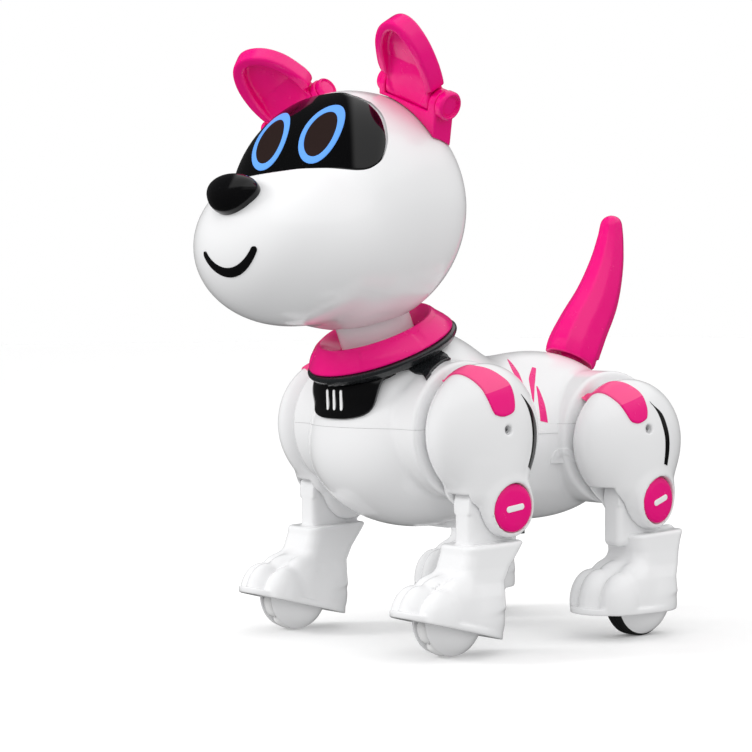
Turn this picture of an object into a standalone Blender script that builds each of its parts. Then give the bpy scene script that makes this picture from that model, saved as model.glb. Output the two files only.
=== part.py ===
"""Robot dog toy: white glossy shells, pink collar, ears and tail, four hinged legs on wheels.

Frame: +Z up, -Y forward, +X to the dog's left, origin on the floor under the middle of the body.
All dimensions below are in millimetres and are scaled to metres when a mesh is finished.
"""
import math
import bpy
import bmesh
import numpy as np
from mathutils import Matrix, Vector

# ---------------------------------------------------------------- driving dimensions (mm)
WALL = 2.0                      # moulded wall thickness
GAP = 0.35                      # assembly gap between touching pieces
SPLIT_Z = 95.0                  # horizontal seam of the torso shells
SEAM_Y = -38.0                  # vertical seam of the head shells
FRONT_Y, FRONT_Z = -33.0, 94.0  # front shoulder axle
REAR_Y, REAR_Z = 52.0, 88.0     # rear hip axle
LEG_X = 55.0                    # middle plane of a leg
LEG_IN = 44.2                   # inner face of an upper leg
BOSS_R, BOSS_X = 29.5, 43.2     # shoulder bosses on the torso
KNEE_R = 12.6
FK_Y, FK_Z = -27.0, 62.0        # front knee
RK_Y, RK_Z = 58.5, 61.0         # rear knee
WHEEL_R = 16.0
FW_Y, RW_Y = -54.0, 56.0        # wheel axles, at height WHEEL_R
NECK_TILT = 23.0                # neck leans forward, degrees
NECK_R = 16.5
COLLAR_C = Vector((0.0, -46.5, 130.0))
COLLAR_R, COLLAR_TOP_R, COLLAR_H = 32.0, 18.8, 12.2
HEAD_YAW = 8.8                  # head is turned a little to the dog's left at rest
NOD_C = Vector((0.0, -60.0, 166.0))
TAIL_C = Vector((0.0, 66.0, 117.0))

AXIS = Vector((0.0, -math.sin(math.radians(NECK_TILT)), math.cos(math.radians(NECK_TILT))))
TILT = Matrix.Rotation(math.radians(NECK_TILT), 4, 'X')
YAW = (Matrix.Translation(COLLAR_C) @ Matrix.Rotation(math.radians(HEAD_YAW), 4, AXIS)
       @ Matrix.Translation(-COLLAR_C))

HEAD_CORE = np.array((0.0, -76.0, 184.0))
HEAD_BLOBS = [((0, -64, 188.6), (53.0, 37.0, 51.6), 3.0), ((0, -100.5, 173.0), (44.2, 36.0, 34.0), 2.0)]
HEAD_K = 6.0
TORSO_CORE = np.array((0.0, 4.0, 90.0))
TORSO_BLOBS = [((0, -29, 86), (42, 44, 36), 2.3), ((0, 42, 88), (40, 46, 38)), ((0, 8, 85), (38, 34, 34)),
               ((0, -38, 109), (33, 25, 24)), ((0, -22, 108), (28, 28, 27))]
TORSO_K = 6.0

# ---------------------------------------------------------------- scene set-up
for o in list(bpy.data.objects):
    bpy.data.objects.remove(o, do_unlink=True)
PARTS = bpy.data.collections.new("robot_dog")
CUTTERS = bpy.data.collections.new("cutters")
bpy.context.scene.collection.children.link(PARTS)
bpy.context.scene.collection.children.link(CUTTERS)
PALETTE = {
    "white": ((0.92, 0.92, 0.93), 0.18, 0.0), "pink": ((0.86, 0.0, 0.20), 0.2, 0.0),
    "black": ((0.01, 0.01, 0.012), 0.12, 0.0), "grey": ((0.05, 0.055, 0.06), 0.35, 0.0),
    "blue": ((0.2, 0.48, 0.95), 0.3, 0.0), "rubber": ((0.02, 0.02, 0.02), 0.8, 0.0),
    "steel": ((0.6, 0.6, 0.62), 0.3, 1.0), "board": ((0.02, 0.2, 0.08), 0.5, 0.0),
    "light": ((0.95, 0.95, 0.95), 0.3, 0.0),
}
MATERIALS = {}
for key, (rgb, rough, metal) in PALETTE.items():
    m = bpy.data.materials.new(key)
    m.use_nodes = True
    b = m.node_tree.nodes["Principled BSDF"]
    b.inputs["Base Color"].default_value = (*rgb, 1)
    b.inputs["Roughness"].default_value = rough
    b.inputs["Metallic"].default_value = metal
    MATERIALS[key] = m
JOINTS = {}
SHIFT_Y = 19.78                 # centres the object's box on the origin
SHIFT = Vector((0, SHIFT_Y, 0))


def joint(name, at, parent=None):
    """An empty on a joint's axis; the pieces of the moving body hang from it."""
    e = bpy.data.objects.new("joint_" + name, None)
    PARTS.objects.link(e)
    at = (Vector(at) + SHIFT) * 0.001
    if parent:
        e.parent = JOINTS[parent][0]
        e.location = at - JOINTS[parent][1]
    else:
        e.location = at
    JOINTS[name] = (e, at)
    return e


def finish(name, bm, mat, body=None, smooth=True, cutter=False):
    """Turns a bmesh in millimetres into a named object in metres, with its origin on its joint."""
    bmesh.ops.remove_doubles(bm, verts=bm.verts, dist=1e-4)
    bmesh.ops.recalc_face_normals(bm, faces=bm.faces)
    bmesh.ops.translate(bm, vec=SHIFT, verts=bm.verts)
    bmesh.ops.scale(bm, vec=(0.001,) * 3, verts=bm.verts)
    at = JOINTS[body][1] if body else Vector((0, 0, 0))
    bmesh.ops.translate(bm, vec=-at, verts=bm.verts)
    me = bpy.data.meshes.new(name)
    bm.to_mesh(me)
    bm.free()
    ob = bpy.data.objects.new(name, me)
    if cutter:
        CUTTERS.objects.link(ob)
        ob.hide_render = True
        ob.display_type = 'WIRE'
        ob.location = at
        return ob
    PARTS.objects.link(ob)
    if body:
        ob.parent = JOINTS[body][0]
    ob.data.materials.append(MATERIALS[mat])
    if smooth:
        me.shade_smooth()
        me.set_sharp_from_angle(angle=math.radians(35))
    return ob


def boolean(ob, other, op='DIFFERENCE'):
    mod = ob.modifiers.new(op.lower() + "_" + other.name, 'BOOLEAN')
    mod.operation = op
    mod.solver = 'EXACT'
    mod.object = other
    return ob


def radius_field(dirs, core, blobs, k=9.0, grow=0.0):
    """Distance from core along each direction to the smooth union of rounded blobs, by bisection.

    A blob is (centre, radii) for an ellipsoid, or (centre, radii, power) for one whose plan is a superellipse."""
    lo = np.zeros(len(dirs))
    hi = np.full(len(dirs), 160.0)
    for _ in range(30):
        mid = (lo + hi) / 2
        p = core + dirs * mid[:, None]
        total = np.zeros(len(dirs))
        for c, r, *more in blobs:
            pw = more[0] if more else 2.0
            r = np.array(r, float) + grow
            q = np.abs(p - np.array(c, float)) / r + 1e-9
            rh = (q[:, 0] ** pw + q[:, 1] ** pw) ** (1 / pw)
            k0 = np.sqrt(rh ** 2 + q[:, 2] ** 2)
            gx = rh ** (2 - pw) * q[:, 0] ** (pw - 1) / r[0]
            gy = rh ** (2 - pw) * q[:, 1] ** (pw - 1) / r[1]
            slope = np.sqrt(gx ** 2 + gy ** 2 + (q[:, 2] / r[2]) ** 2) / k0
            total += np.exp(-np.clip((k0 - 1.0) / slope / k, -60, 60))
        inside = total > 1.0
        lo = np.where(inside, mid, lo)
        hi = np.where(inside, hi, mid)
    return (lo + hi) / 2


def blob(core, blobs, u=28, v=18, k=9.0, grow=0.0, turn=None, matrix=None):
    """A UV sphere whose vertices are pushed out to a smooth union of ellipsoids round core."""
    bm = bmesh.new()
    bmesh.ops.create_uvsphere(bm, u_segments=u, v_segments=v, radius=1.0)
    if turn is not None:
        bmesh.ops.transform(bm, matrix=turn, verts=bm.verts)
    bm.verts.ensure_lookup_table()
    dirs = np.array([w.co[:] for w in bm.verts])
    dirs /= np.linalg.norm(dirs, axis=1)[:, None]
    r = radius_field(dirs, np.array(core, float), blobs, k, grow)
    for w, d, q in zip(bm.verts, dirs, r):
        w.co = Vector(np.array(core) + d * q)
    if matrix is not None:
        bmesh.ops.transform(bm, matrix=matrix, verts=bm.verts)
    return bm


POLE_Y = Matrix.Rotation(math.pi / 2, 4, 'X')


def along(p0, p1):
    """Matrix that carries the Z axis onto the line p0-p1, centred on its middle."""
    p0, p1 = Vector(p0), Vector(p1)
    d = (p1 - p0).normalized()
    return Matrix.Translation((p0 + p1) / 2) @ d.to_track_quat('Z', 'Y').to_matrix().to_4x4(), (p1 - p0).length


def cyl(p0, p1, r, seg=24, r2=None, bm=None):
    bm = bm or bmesh.new()
    m, length = along(p0, p1)
    bmesh.ops.create_cone(bm, cap_ends=True, segments=seg, radius1=r, radius2=r if r2 is None else r2,
                          depth=length, matrix=m)
    return bm


def box(lo, hi, bevel=0.0, seg=1, matrix=None):
    bm = bmesh.new()
    lo, hi = Vector(lo), Vector(hi)
    c, s = (lo + hi) / 2, hi - lo
    bmesh.ops.create_cube(bm, size=1.0, matrix=Matrix.Translation(c) @ Matrix.Diagonal((*s, 1)))
    if bevel:
        bmesh.ops.bevel(bm, geom=bm.edges[:], offset=bevel, segments=seg, affect='EDGES', profile=0.5)
    if matrix is not None:
        bmesh.ops.transform(bm, matrix=matrix, verts=bm.verts)
    return bm


def turned(name, profile, mat, body=None, steps=28, at=(0, 0, 0), rot=None, extra=None):
    """A closed profile of (radius, height) pairs turned about its own Z axis with a Screw modifier,
    then placed. The object keeps an unrotated world placement by baking the turned mesh."""
    me = bpy.data.meshes.new(name + "_profile")
    n = len(profile)
    closed = profile[0][0] > 0 or profile[-1][0] > 0
    me.from_pydata([(r * 0.001, 0, h * 0.001) for r, h in profile], [(i, (i + 1) % n) for i in range(n if closed else n - 1)], [])
    tmp = bpy.data.objects.new(name + "_profile", me)
    CUTTERS.objects.link(tmp)
    mod = tmp.modifiers.new("turn", 'SCREW')
    mod.angle = math.tau
    mod.steps = steps
    mod.render_steps = steps
    mod.use_merge_vertices = True
    mod.merge_threshold = 0.00002
    bpy.context.view_layer.update()
    mesh = bpy.data.meshes.new_from_object(tmp.evaluated_get(bpy.context.evaluated_depsgraph_get()))
    bpy.data.objects.remove(tmp)
    bm = bmesh.new()
    bm.from_mesh(mesh)
    bmesh.ops.scale(bm, vec=(1000,) * 3, verts=bm.verts)
    m = Matrix.Translation(Vector(at)) @ (rot if rot is not None else Matrix.Identity(4))
    bmesh.ops.transform(bm, matrix=(extra @ m) if extra is not None else m, verts=bm.verts)
    return finish(name, bm, mat, body)


def loft(sections, seg=20, matrix=None):
    """Closed solid through superellipse sections (cx, cy, cz, half_x, half_y, power[, pitch]) from bottom to top."""
    bm = bmesh.new()
    rings = []
    for cx, cy, cz, hx, hy, pw, *more in sections:
        pitch = math.radians(more[0]) if more else 0.0
        ring = []
        for i in range(seg):
            t = math.tau * i / seg
            c, s = math.cos(t), math.sin(t)
            x = hx * math.copysign(abs(c) ** (2 / pw), c)
            y = hy * math.copysign(abs(s) ** (2 / pw), s)
            ring.append(bm.verts.new((cx + x, cy + y * math.cos(pitch), cz + y * math.sin(pitch))))
        rings.append(ring)
    for a, b in zip(rings, rings[1:]):
        for i in range(seg):
            j = (i + 1) % seg
            bm.faces.new((a[i], a[j], b[j], b[i]))
    bm.faces.new(rings[0][::-1])
    bm.faces.new(rings[-1])
    if matrix is not None:
        bmesh.ops.transform(bm, matrix=matrix, verts=bm.verts)
    return bm


ROT_X = Matrix.Rotation(math.pi / 2, 4, 'Y')      # Z axis onto X


def prism(outline, a, b, axis='X', matrix=None):
    """A flat outline pushed straight from a to b along an axis; outline pairs are the other two coordinates."""
    put = {'X': lambda p, t: (t, p[0], p[1]), 'Y': lambda p, t: (p[0], t, p[1]), 'Z': lambda p, t: (p[0], p[1], t)}[axis]
    bm = bmesh.new()
    f = bm.faces.new([bm.verts.new(put(p, a)) for p in outline])
    e = bmesh.ops.extrude_face_region(bm, geom=[f])
    move = Vector(put((0, 0), b - a))
    bmesh.ops.translate(bm, vec=move, verts=[g for g in e["geom"] if isinstance(g, bmesh.types.BMVert)])
    if matrix is not None:
        bmesh.ops.transform(bm, matrix=matrix, verts=bm.verts)
    return bm

# ---------------------------------------------------------------- joints
joint("neck", COLLAR_C)
joint("head", YAW @ NOD_C, "neck")
joint("tail", TAIL_C)
joint("switch", (16, 14, 50.0))

EAR_PIVOT = (35.2, -55.2, 236.6)   # middle of the ear pin, head straight
EAR_SLOPE = 24.0                 # pin slopes down outwards
EAR_LEAN = {1: 38.0, -1: 51.0}   # flap leans forward at rest, left and right
BASE_LEAN = 14.0


def ear_frame(s, lean):
    """Ear axes in world space at rest: columns are along the pin (inner to outer), up the flap, and out of its front."""
    q, l = math.radians(EAR_SLOPE), math.radians(lean)
    e1 = Vector((s * math.cos(q), 0, -math.sin(q)))
    n = Vector((s * math.sin(q), 0, math.cos(q)))
    f = Vector((0, -1, 0))
    e2 = n * math.cos(l) + f * math.sin(l)
    e3 = f * math.cos(l) - n * math.sin(l)
    m = Matrix((e1, e2, e3)).transposed().to_4x4()
    return YAW @ Matrix.Translation(Vector((s * EAR_PIVOT[0], EAR_PIVOT[1], EAR_PIVOT[2]))) @ m


for side, s in (("left", 1), ("right", -1)):
    joint("ear_" + side, ear_frame(s, 0).translation, "head")
for end, (ky, kz, hy, hz, wy) in {"front": (FK_Y, FK_Z, FRONT_Y, FRONT_Z, FW_Y),
                                  "rear": (RK_Y, RK_Z, REAR_Y, REAR_Z, RW_Y)}.items():
    for side, s in (("left", 1), ("right", -1)):
        joint(f"hip_{end}_{side}", (s * LEG_X, hy, hz))
        joint(f"knee_{end}_{side}", (s * LEG_X, ky, kz), f"hip_{end}_{side}")
        joint(f"wheel_{end}_{side}", (s * LEG_X, wy, WHEEL_R), f"knee_{end}_{side}")

# ---------------------------------------------------------------- torso shells
collar_cut = (Matrix.Translation(COLLAR_C - AXIS * 4.5) @ TILT)


def torso_cutter(name, grow, seg=(22, 16)):
    ob = finish(name, blob(TORSO_CORE, TORSO_BLOBS, *seg, k=TORSO_K, grow=grow, turn=POLE_Y), None, cutter=True)
    return ob


for part, zlo, zhi in (("torso_upper_shell", SPLIT_Z + GAP / 2, 200), ("torso_lower_shell", -20, SPLIT_Z - GAP / 2)):
    ob = finish(part, blob(TORSO_CORE, TORSO_BLOBS, 22, 16, k=TORSO_K, turn=POLE_Y), "white")
    for nm, by, bz in (("f", FRONT_Y, FRONT_Z), ("r", REAR_Y, REAR_Z)):
        boolean(ob, finish(f"boss_{nm}_{part}", cyl((-BOSS_X, by, bz), (BOSS_X, by, bz), BOSS_R, 36), None, cutter=True), 'UNION')
    boolean(ob, torso_cutter("hollow_" + part, -WALL - 0.4))
    for nm, by, bz in (("f", FRONT_Y, FRONT_Z), ("r", REAR_Y, REAR_Z)):
        boolean(ob, finish(f"bore_{nm}_{part}", cyl((-60, by, bz), (60, by, bz), 3.4, 16), None, cutter=True))
        boolean(ob, finish(f"well_{nm}_{part}", cyl((-BOSS_X + 2.2, by, bz), (BOSS_X - 2.2, by, bz), BOSS_R - 2.2, 36), None, cutter=True))
    if "upper" in part:
        boolean(ob, finish("neck_plane_" + part, box((-60, -60, 0), (60, 60, 60), matrix=collar_cut), None, cutter=True))
        boolean(ob, finish("neck_hole_" + part, cyl(COLLAR_C - AXIS * 18, COLLAR_C + AXIS * 6, NECK_R + 0.9, 28), None, cutter=True))
        boolean(ob, finish("tail_slot_" + part, cyl((0, 66, 100), (0, 66, 150), 6.2, 16), None, cutter=True))
        boolean(ob, finish("half_" + part, box((-90, -150, -50), (90, 150, zlo)), None, cutter=True))
    else:
        boolean(ob, finish("door_hole", box((-16.4, -22.4, 40), (16.4, 26.4, 60.0)), None, cutter=True))
        boolean(ob, finish("switch_hole", box((20.2, 9.4, 40), (27.8, 18.6, 60)), None, cutter=True))
        boolean(ob, finish("half_" + part, box((-90, -150, zhi), (90, 150, 250)), None, cutter=True))

# flat battery door, a little proud of the belly, with its screw
door = finish("battery_door", box((-16, -22, 49.4), (16, 26, 55.0), 1.0, 1), "white", smooth=False)
boolean(door, finish("door_screw_hole", cyl((0, 20, 40), (0, 20, 60), 2.2, 14), None, cutter=True))
turned("battery_door_screw", [(0, 1.6), (1.8, 1.6), (1.8, 0.0), (1.2, -0.4), (1.2, -6), (0, -6.6)], "steel",
       at=(0, 20, 51.6), rot=Matrix.Rotation(math.pi, 4, 'X'), steps=14)
# inside the torso
finish("battery_pack", box((-14, -18, 61), (14, 15, 74), 2.5, 1), "black")
finish("main_circuit_board", box((-22, -20, 76), (22, 30, 77.6)), "board", smooth=False)
turned("speaker", [(0, 5), (7, 5), (9, 2), (12, 1), (12, 0), (0, 0)], "black", at=(0, -42, 62), steps=20)
for end, by, bz in (("front", FRONT_Y, FRONT_Z), ("rear", REAR_Y, REAR_Z)):
    finish(f"{end}_leg_axle", cyl((-49.5, by, bz), (49.5, by, bz), 3.0, 16), "steel")
finish("drive_gearbox", box((-16, 30, 94), (16, 45, 112), 1.5, 1), "white")
finish("power_switch", cyl((24, 14, 51.5), (24, 14, 45.6), 2.0, 12), "black", "switch")

# ---------------------------------------------------------------- collar and chest badge
up = Matrix.Translation(COLLAR_C) @ TILT
turned("collar_ring", [(25.4, 8.6), (26.6, 8.2), (31.8, 2.4), (33.0, 0.4), (32.4, -0.6), (25, -0.6), (NECK_R + 1.1, 1.4), (NECK_R + 1.1, 2.4), (24.2, 8.0)],
       "pink", rot=TILT, at=COLLAR_C, steps=28)
turned("collar_base", [(33.8, -1.0), (34.2, -2.4), (31.5, -4.2), (NECK_R + 1.2, -4.2), (NECK_R + 1.2, -1.0)],
       "grey", rot=TILT, at=COLLAR_C, steps=28)
# the badge hangs upright from the collar: a bib that is fuller than the chest, kept inside its shield outline
badge = finish("chest_badge", blob(TORSO_CORE, TORSO_BLOBS, 22, 16, k=TORSO_K, grow=1.2, turn=POLE_Y), "black")
boolean(badge, finish("badge_bib", blob((0, -50, 110), [((0, -50, 110), (30, 21.9, 20), 2.5)], 24, 16, k=1.0, turn=POLE_Y), None, cutter=True), 'UNION')
sh = bmesh.new()
shape = [(-23.4, 126), (23.4, 126), (23.2, 113), (21.6, 106.5), (18.0, 101.4), (10.5, 99.0), (-10.5, 99.0), (-18.0, 101.4), (-21.6, 106.5), (-23.2, 113)]
sv = [sh.verts.new((x, -110, z)) for x, z in shape]
sf = sh.faces.new(sv)
ext = bmesh.ops.extrude_face_region(sh, geom=[sf])
bmesh.ops.translate(sh, vec=(0, 56, 0), verts=[e for e in ext["geom"] if isinstance(e, bmesh.types.BMVert)])
boolean(badge, finish("badge_keep", sh, None, cutter=True), 'INTERSECT')
boolean(badge, finish("badge_back", blob(TORSO_CORE, TORSO_BLOBS, 22, 16, k=TORSO_K, grow=0.45, turn=POLE_Y), None, cutter=True))
boolean(badge, finish("badge_top", box((-60, -60, -4.6), (60, 60, 40), matrix=up), None, cutter=True))

# ---------------------------------------------------------------- neck
turned("neck_tube", [(NECK_R, 30), (NECK_R, -10), (NECK_R - 2, -12), (NECK_R - 2, 30)], "white", "neck",
       rot=TILT, at=COLLAR_C, steps=32)
finish("head_pivot_pin", cyl(YAW @ (NOD_C + Vector((-21, 0, 0))), YAW @ (NOD_C + Vector((21, 0, 0))), 2.2, 14), "steel", "neck")

# ---------------------------------------------------------------- head shells
for part in ("head_front_shell", "head_back_shell"):
    front = "front" in part
    ob = finish(part, blob(HEAD_CORE, HEAD_BLOBS, 24, 16, k=HEAD_K, turn=POLE_Y, matrix=YAW), "white", "head")
    boolean(ob, finish("hollow_" + part, blob(HEAD_CORE, HEAD_BLOBS, 24, 16, k=HEAD_K, grow=-WALL, turn=POLE_Y, matrix=YAW), None, cutter=True))
    half = box((-90, SEAM_Y - GAP / 2, 90), (90, 60, 290), matrix=YAW) if front else box((-90, -190, 90), (90, SEAM_Y + GAP / 2, 290), matrix=YAW)
    boolean(ob, finish("half_" + part, half, None, cutter=True))
    boolean(ob, finish("neck_room_" + part, cyl(YAW @ (NOD_C - AXIS * 50), YAW @ (NOD_C + AXIS * 6), NECK_R + 5.0, 26), None, cutter=True))

# face: visor, eye rings, nose, mouth sit on or in the front shell


def face_patch(name, outline, grow_out, grow_in, mat, seg=(24, 16)):
    """A thin plate that follows the head: the region of the offset head surface inside an X-Z outline."""
    ob = finish(name, blob(HEAD_CORE, HEAD_BLOBS, *seg, k=HEAD_K, grow=grow_out, turn=POLE_Y, matrix=YAW), mat, "head")
    bm = bmesh.new()
    f = bm.faces.new([bm.verts.new((x, -150, z)) for x, z in outline])
    e = bmesh.ops.extrude_face_region(bm, geom=[f])
    bmesh.ops.translate(bm, vec=(0, 150 - 71, 0), verts=[g for g in e["geom"] if isinstance(g, bmesh.types.BMVert)])
    bmesh.ops.transform(bm, matrix=YAW, verts=bm.verts)
    boolean(ob, finish("keep_" + name, bm, None, cutter=True), 'INTERSECT')
    boolean(ob, finish("back_" + name, blob(HEAD_CORE, HEAD_BLOBS, *seg, k=HEAD_K, grow=grow_in, turn=POLE_Y, matrix=YAW), None, cutter=True))
    return ob


def mirrored(half):
    return half + [(-x, z) for x, z in half[::-1]]


VISOR = mirrored([(0.01, 201.4), (14, 202.2), (23, 203.0), (34, 201.6), (40.0, 200.9), (43.2, 202.4), (44.8, 206.0), (44.6, 209.8), (43.1, 214.7), (38.4, 220.2), (33.4, 225.4), (27.8, 229.9), (18.4, 235.0), (8.5, 237.6)])
face_patch("eye_visor", VISOR, 1.65, 0.6, "black")
EYE_X, EYE_Z, EYE_A, EYE_B = 15.6, 218.9, 11.9, 14.1
for side, s in (("left", 1), ("right", -1)):
    ring = [(s * EYE_X + EYE_A * math.cos(math.tau * i / 20), EYE_Z + EYE_B * 0.93 * math.sin(math.tau * i / 20)) for i in range(20)]
    ob = face_patch("eye_ring_" + side, ring, 2.9, 2.0, "blue")
    hole = bmesh.new()
    f = hole.faces.new([hole.verts.new((s * EYE_X + (EYE_A - 3.2) * math.cos(math.tau * i / 20), -160,
                                        EYE_Z + (EYE_B * 0.93 - 3.2) * math.sin(math.tau * i / 20))) for i in range(20)])
    e = bmesh.ops.extrude_face_region(hole, geom=[f])
    bmesh.ops.translate(hole, vec=(0, 120, 0), verts=[g for g in e["geom"] if isinstance(g, bmesh.types.BMVert)])
    bmesh.ops.transform(hole, matrix=YAW, verts=hole.verts)
    boolean(ob, finish("hole_eye_ring_" + side, hole, None, cutter=True))

SMILE = [(-15.2 + 30.4 * i / 8, 169.4 - 10.0 * math.sin(math.pi * i / 8) ** 1.1) for i in range(9)]
smile = SMILE + [(x * 0.86, z + 3.0) for x, z in SMILE[::-1]]
face_patch("mouth_inlay", smile, 1.2, 0.45, "black")

nose = blob((0, 0, 0), [((0, 0, 0), (12.4, 7.6, 7.2)), ((0, 0.5, -4.5), (7.0, 6.5, 4.5))], 16, 11, k=2.5,
            matrix=YAW @ Matrix.Translation((0, -128.2, 195.6)) @ Matrix.Rotation(math.radians(-22), 4, 'X'))
ob = finish("nose", nose, "black", "head")
boolean(ob, finish("nose_back", blob(HEAD_CORE, HEAD_BLOBS, 24, 16, k=HEAD_K, grow=0.45, turn=POLE_Y, matrix=YAW), None, cutter=True))
finish("eye_display_board", box((-24, -86, 204), (24, -84.4, 221), matrix=YAW), "board", "head", smooth=False)

# ---------------------------------------------------------------- ears
EAR_T = 4.3
for side, s in (("left", 1), ("right", -1)):
    m = ear_frame(s, EAR_LEAN[s])
    body = "ear_" + side
    # flap: rounded leaf outline, with its knuckle round the pin
    out = [(-12.9, 0.6), (-12.9, 6.9), (-16.2, 7.2), (-17.0, 15), (-15.6, 24), (-11.5, 32), (-5.5, 37.6), (0.5, 38.4), (6, 34.5), (10.8, 27), (14.2, 17), (15.6, 7.2), (12.9, 6.9), (12.9, 0.6)]
    flap = finish("ear_flap_" + side, prism(out, -EAR_T, EAR_T, 'Z', m), "pink", body)
    boolean(flap, finish("knuckle_" + side, cyl(m @ Vector((-13.1, 0, 0)), m @ Vector((13.1, 0, 0)), 5.7, 20), None, cutter=True), 'UNION')
    inner = [(-11.5, 10), (-12.4, 16), (-11.2, 23), (-7.6, 29), (-3.4, 32.6), (0.4, 32.4), (4.6, 28), (8.2, 21), (10.6, 13), (10.9, 10)]
    boolean(flap, finish("ear_recess_" + side, prism(inner, EAR_T - 4.6, EAR_T + 6, 'Z', m), None, cutter=True))
    boolean(flap, finish("flap_bore_" + side, cyl(m @ Vector((-30, 0, 0)), m @ Vector((30, 0, 0)), 1.9, 12), None, cutter=True))
    # saddle: slab under the knuckle with an end boss each side, cut to the head
    m = ear_frame(s, BASE_LEAN)
    base = finish("ear_base_" + side, box((-17.0, -20, -5.6), (18.2, -0.7, 5.6), matrix=m), "pink", "head")
    for a, b in ((-16.7, -13.6), (13.6, 17.6)):
        boolean(base, finish(f"end_{side}_{int(a)}", cyl(m @ Vector((a, 0, 0)), m @ Vector((b, 0, 0)), 5.9, 20), None, cutter=True), 'UNION')
    boolean(base, finish("cradle_" + side, cyl(m @ Vector((-13.45, 0, 0)), m @ Vector((13.45, 0, 0)), 6.15, 20), None, cutter=True))
    boolean(base, finish("ear_bore_" + side, cyl(m @ Vector((-30, 0, 0)), m @ Vector((30, 0, 0)), 1.9, 12), None, cutter=True))
    boolean(base, finish("ear_seat_" + side, blob(HEAD_CORE, HEAD_BLOBS, 24, 16, k=HEAD_K, grow=2.0, turn=POLE_Y, matrix=YAW), None, cutter=True))
    turned("ear_pin_" + side, [(0, 22.0), (5.2, 21.8), (6.3, 21.0), (6.3, 18.6), (1.6, 18.6), (1.6, -17.3), (5.0, -17.3), (5.0, -19.0), (4.2, -19.8), (0, -20.0)],
           "pink", "head", rot=Matrix.Identity(4), at=(0, 0, 0), steps=20, extra=m @ ROT_X)

# ---------------------------------------------------------------- tail
spine = [((0, 66, 110), 4.6, 4.6), ((0, 66.5, 119), 6.4, 6.4), ((0, 67.5, 125.5), 11.4, 13.2), ((0, 73.5, 136), 10.6, 12.6),
         ((0, 82.5, 150), 9.2, 11.0), ((0, 88.5, 165), 7.6, 8.6), ((0, 91.3, 178), 6.0, 6.4), ((0, 91.7, 189.5), 4.6, 4.7)]
bm = bmesh.new()
rings = []
for i, (c, hx, hy) in enumerate(spine):
    c = Vector(c)
    t = (Vector(spine[min(i + 1, len(spine) - 1)][0]) - Vector(spine[max(i - 1, 0)][0])).normalized()
    b = t.cross(Vector((1, 0, 0))).normalized()
    rings.append([bm.verts.new(c + Vector((1, 0, 0)) * hx * math.cos(math.tau * k / 14) + b * hy * math.sin(math.tau * k / 14)) for k in range(14)])
for a, b in zip(rings, rings[1:]):
    for i in range(14):
        bm.faces.new((a[i], a[(i + 1) % 14], b[(i + 1) % 14], b[i]))
bm.faces.new(rings[0][::-1])
bm.faces.new(rings[-1])
tail = finish("tail", bm, "pink", "tail")
boolean(tail, finish("tail_clear", blob(TORSO_CORE, TORSO_BLOBS, 22, 16, k=TORSO_K, grow=1.9, turn=POLE_Y), None, cutter=True))
boolean(tail, finish("tail_stalk", cyl((0, 66, 108), (0, 66, 131), 4.8, 16), None, cutter=True), 'UNION')

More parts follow.
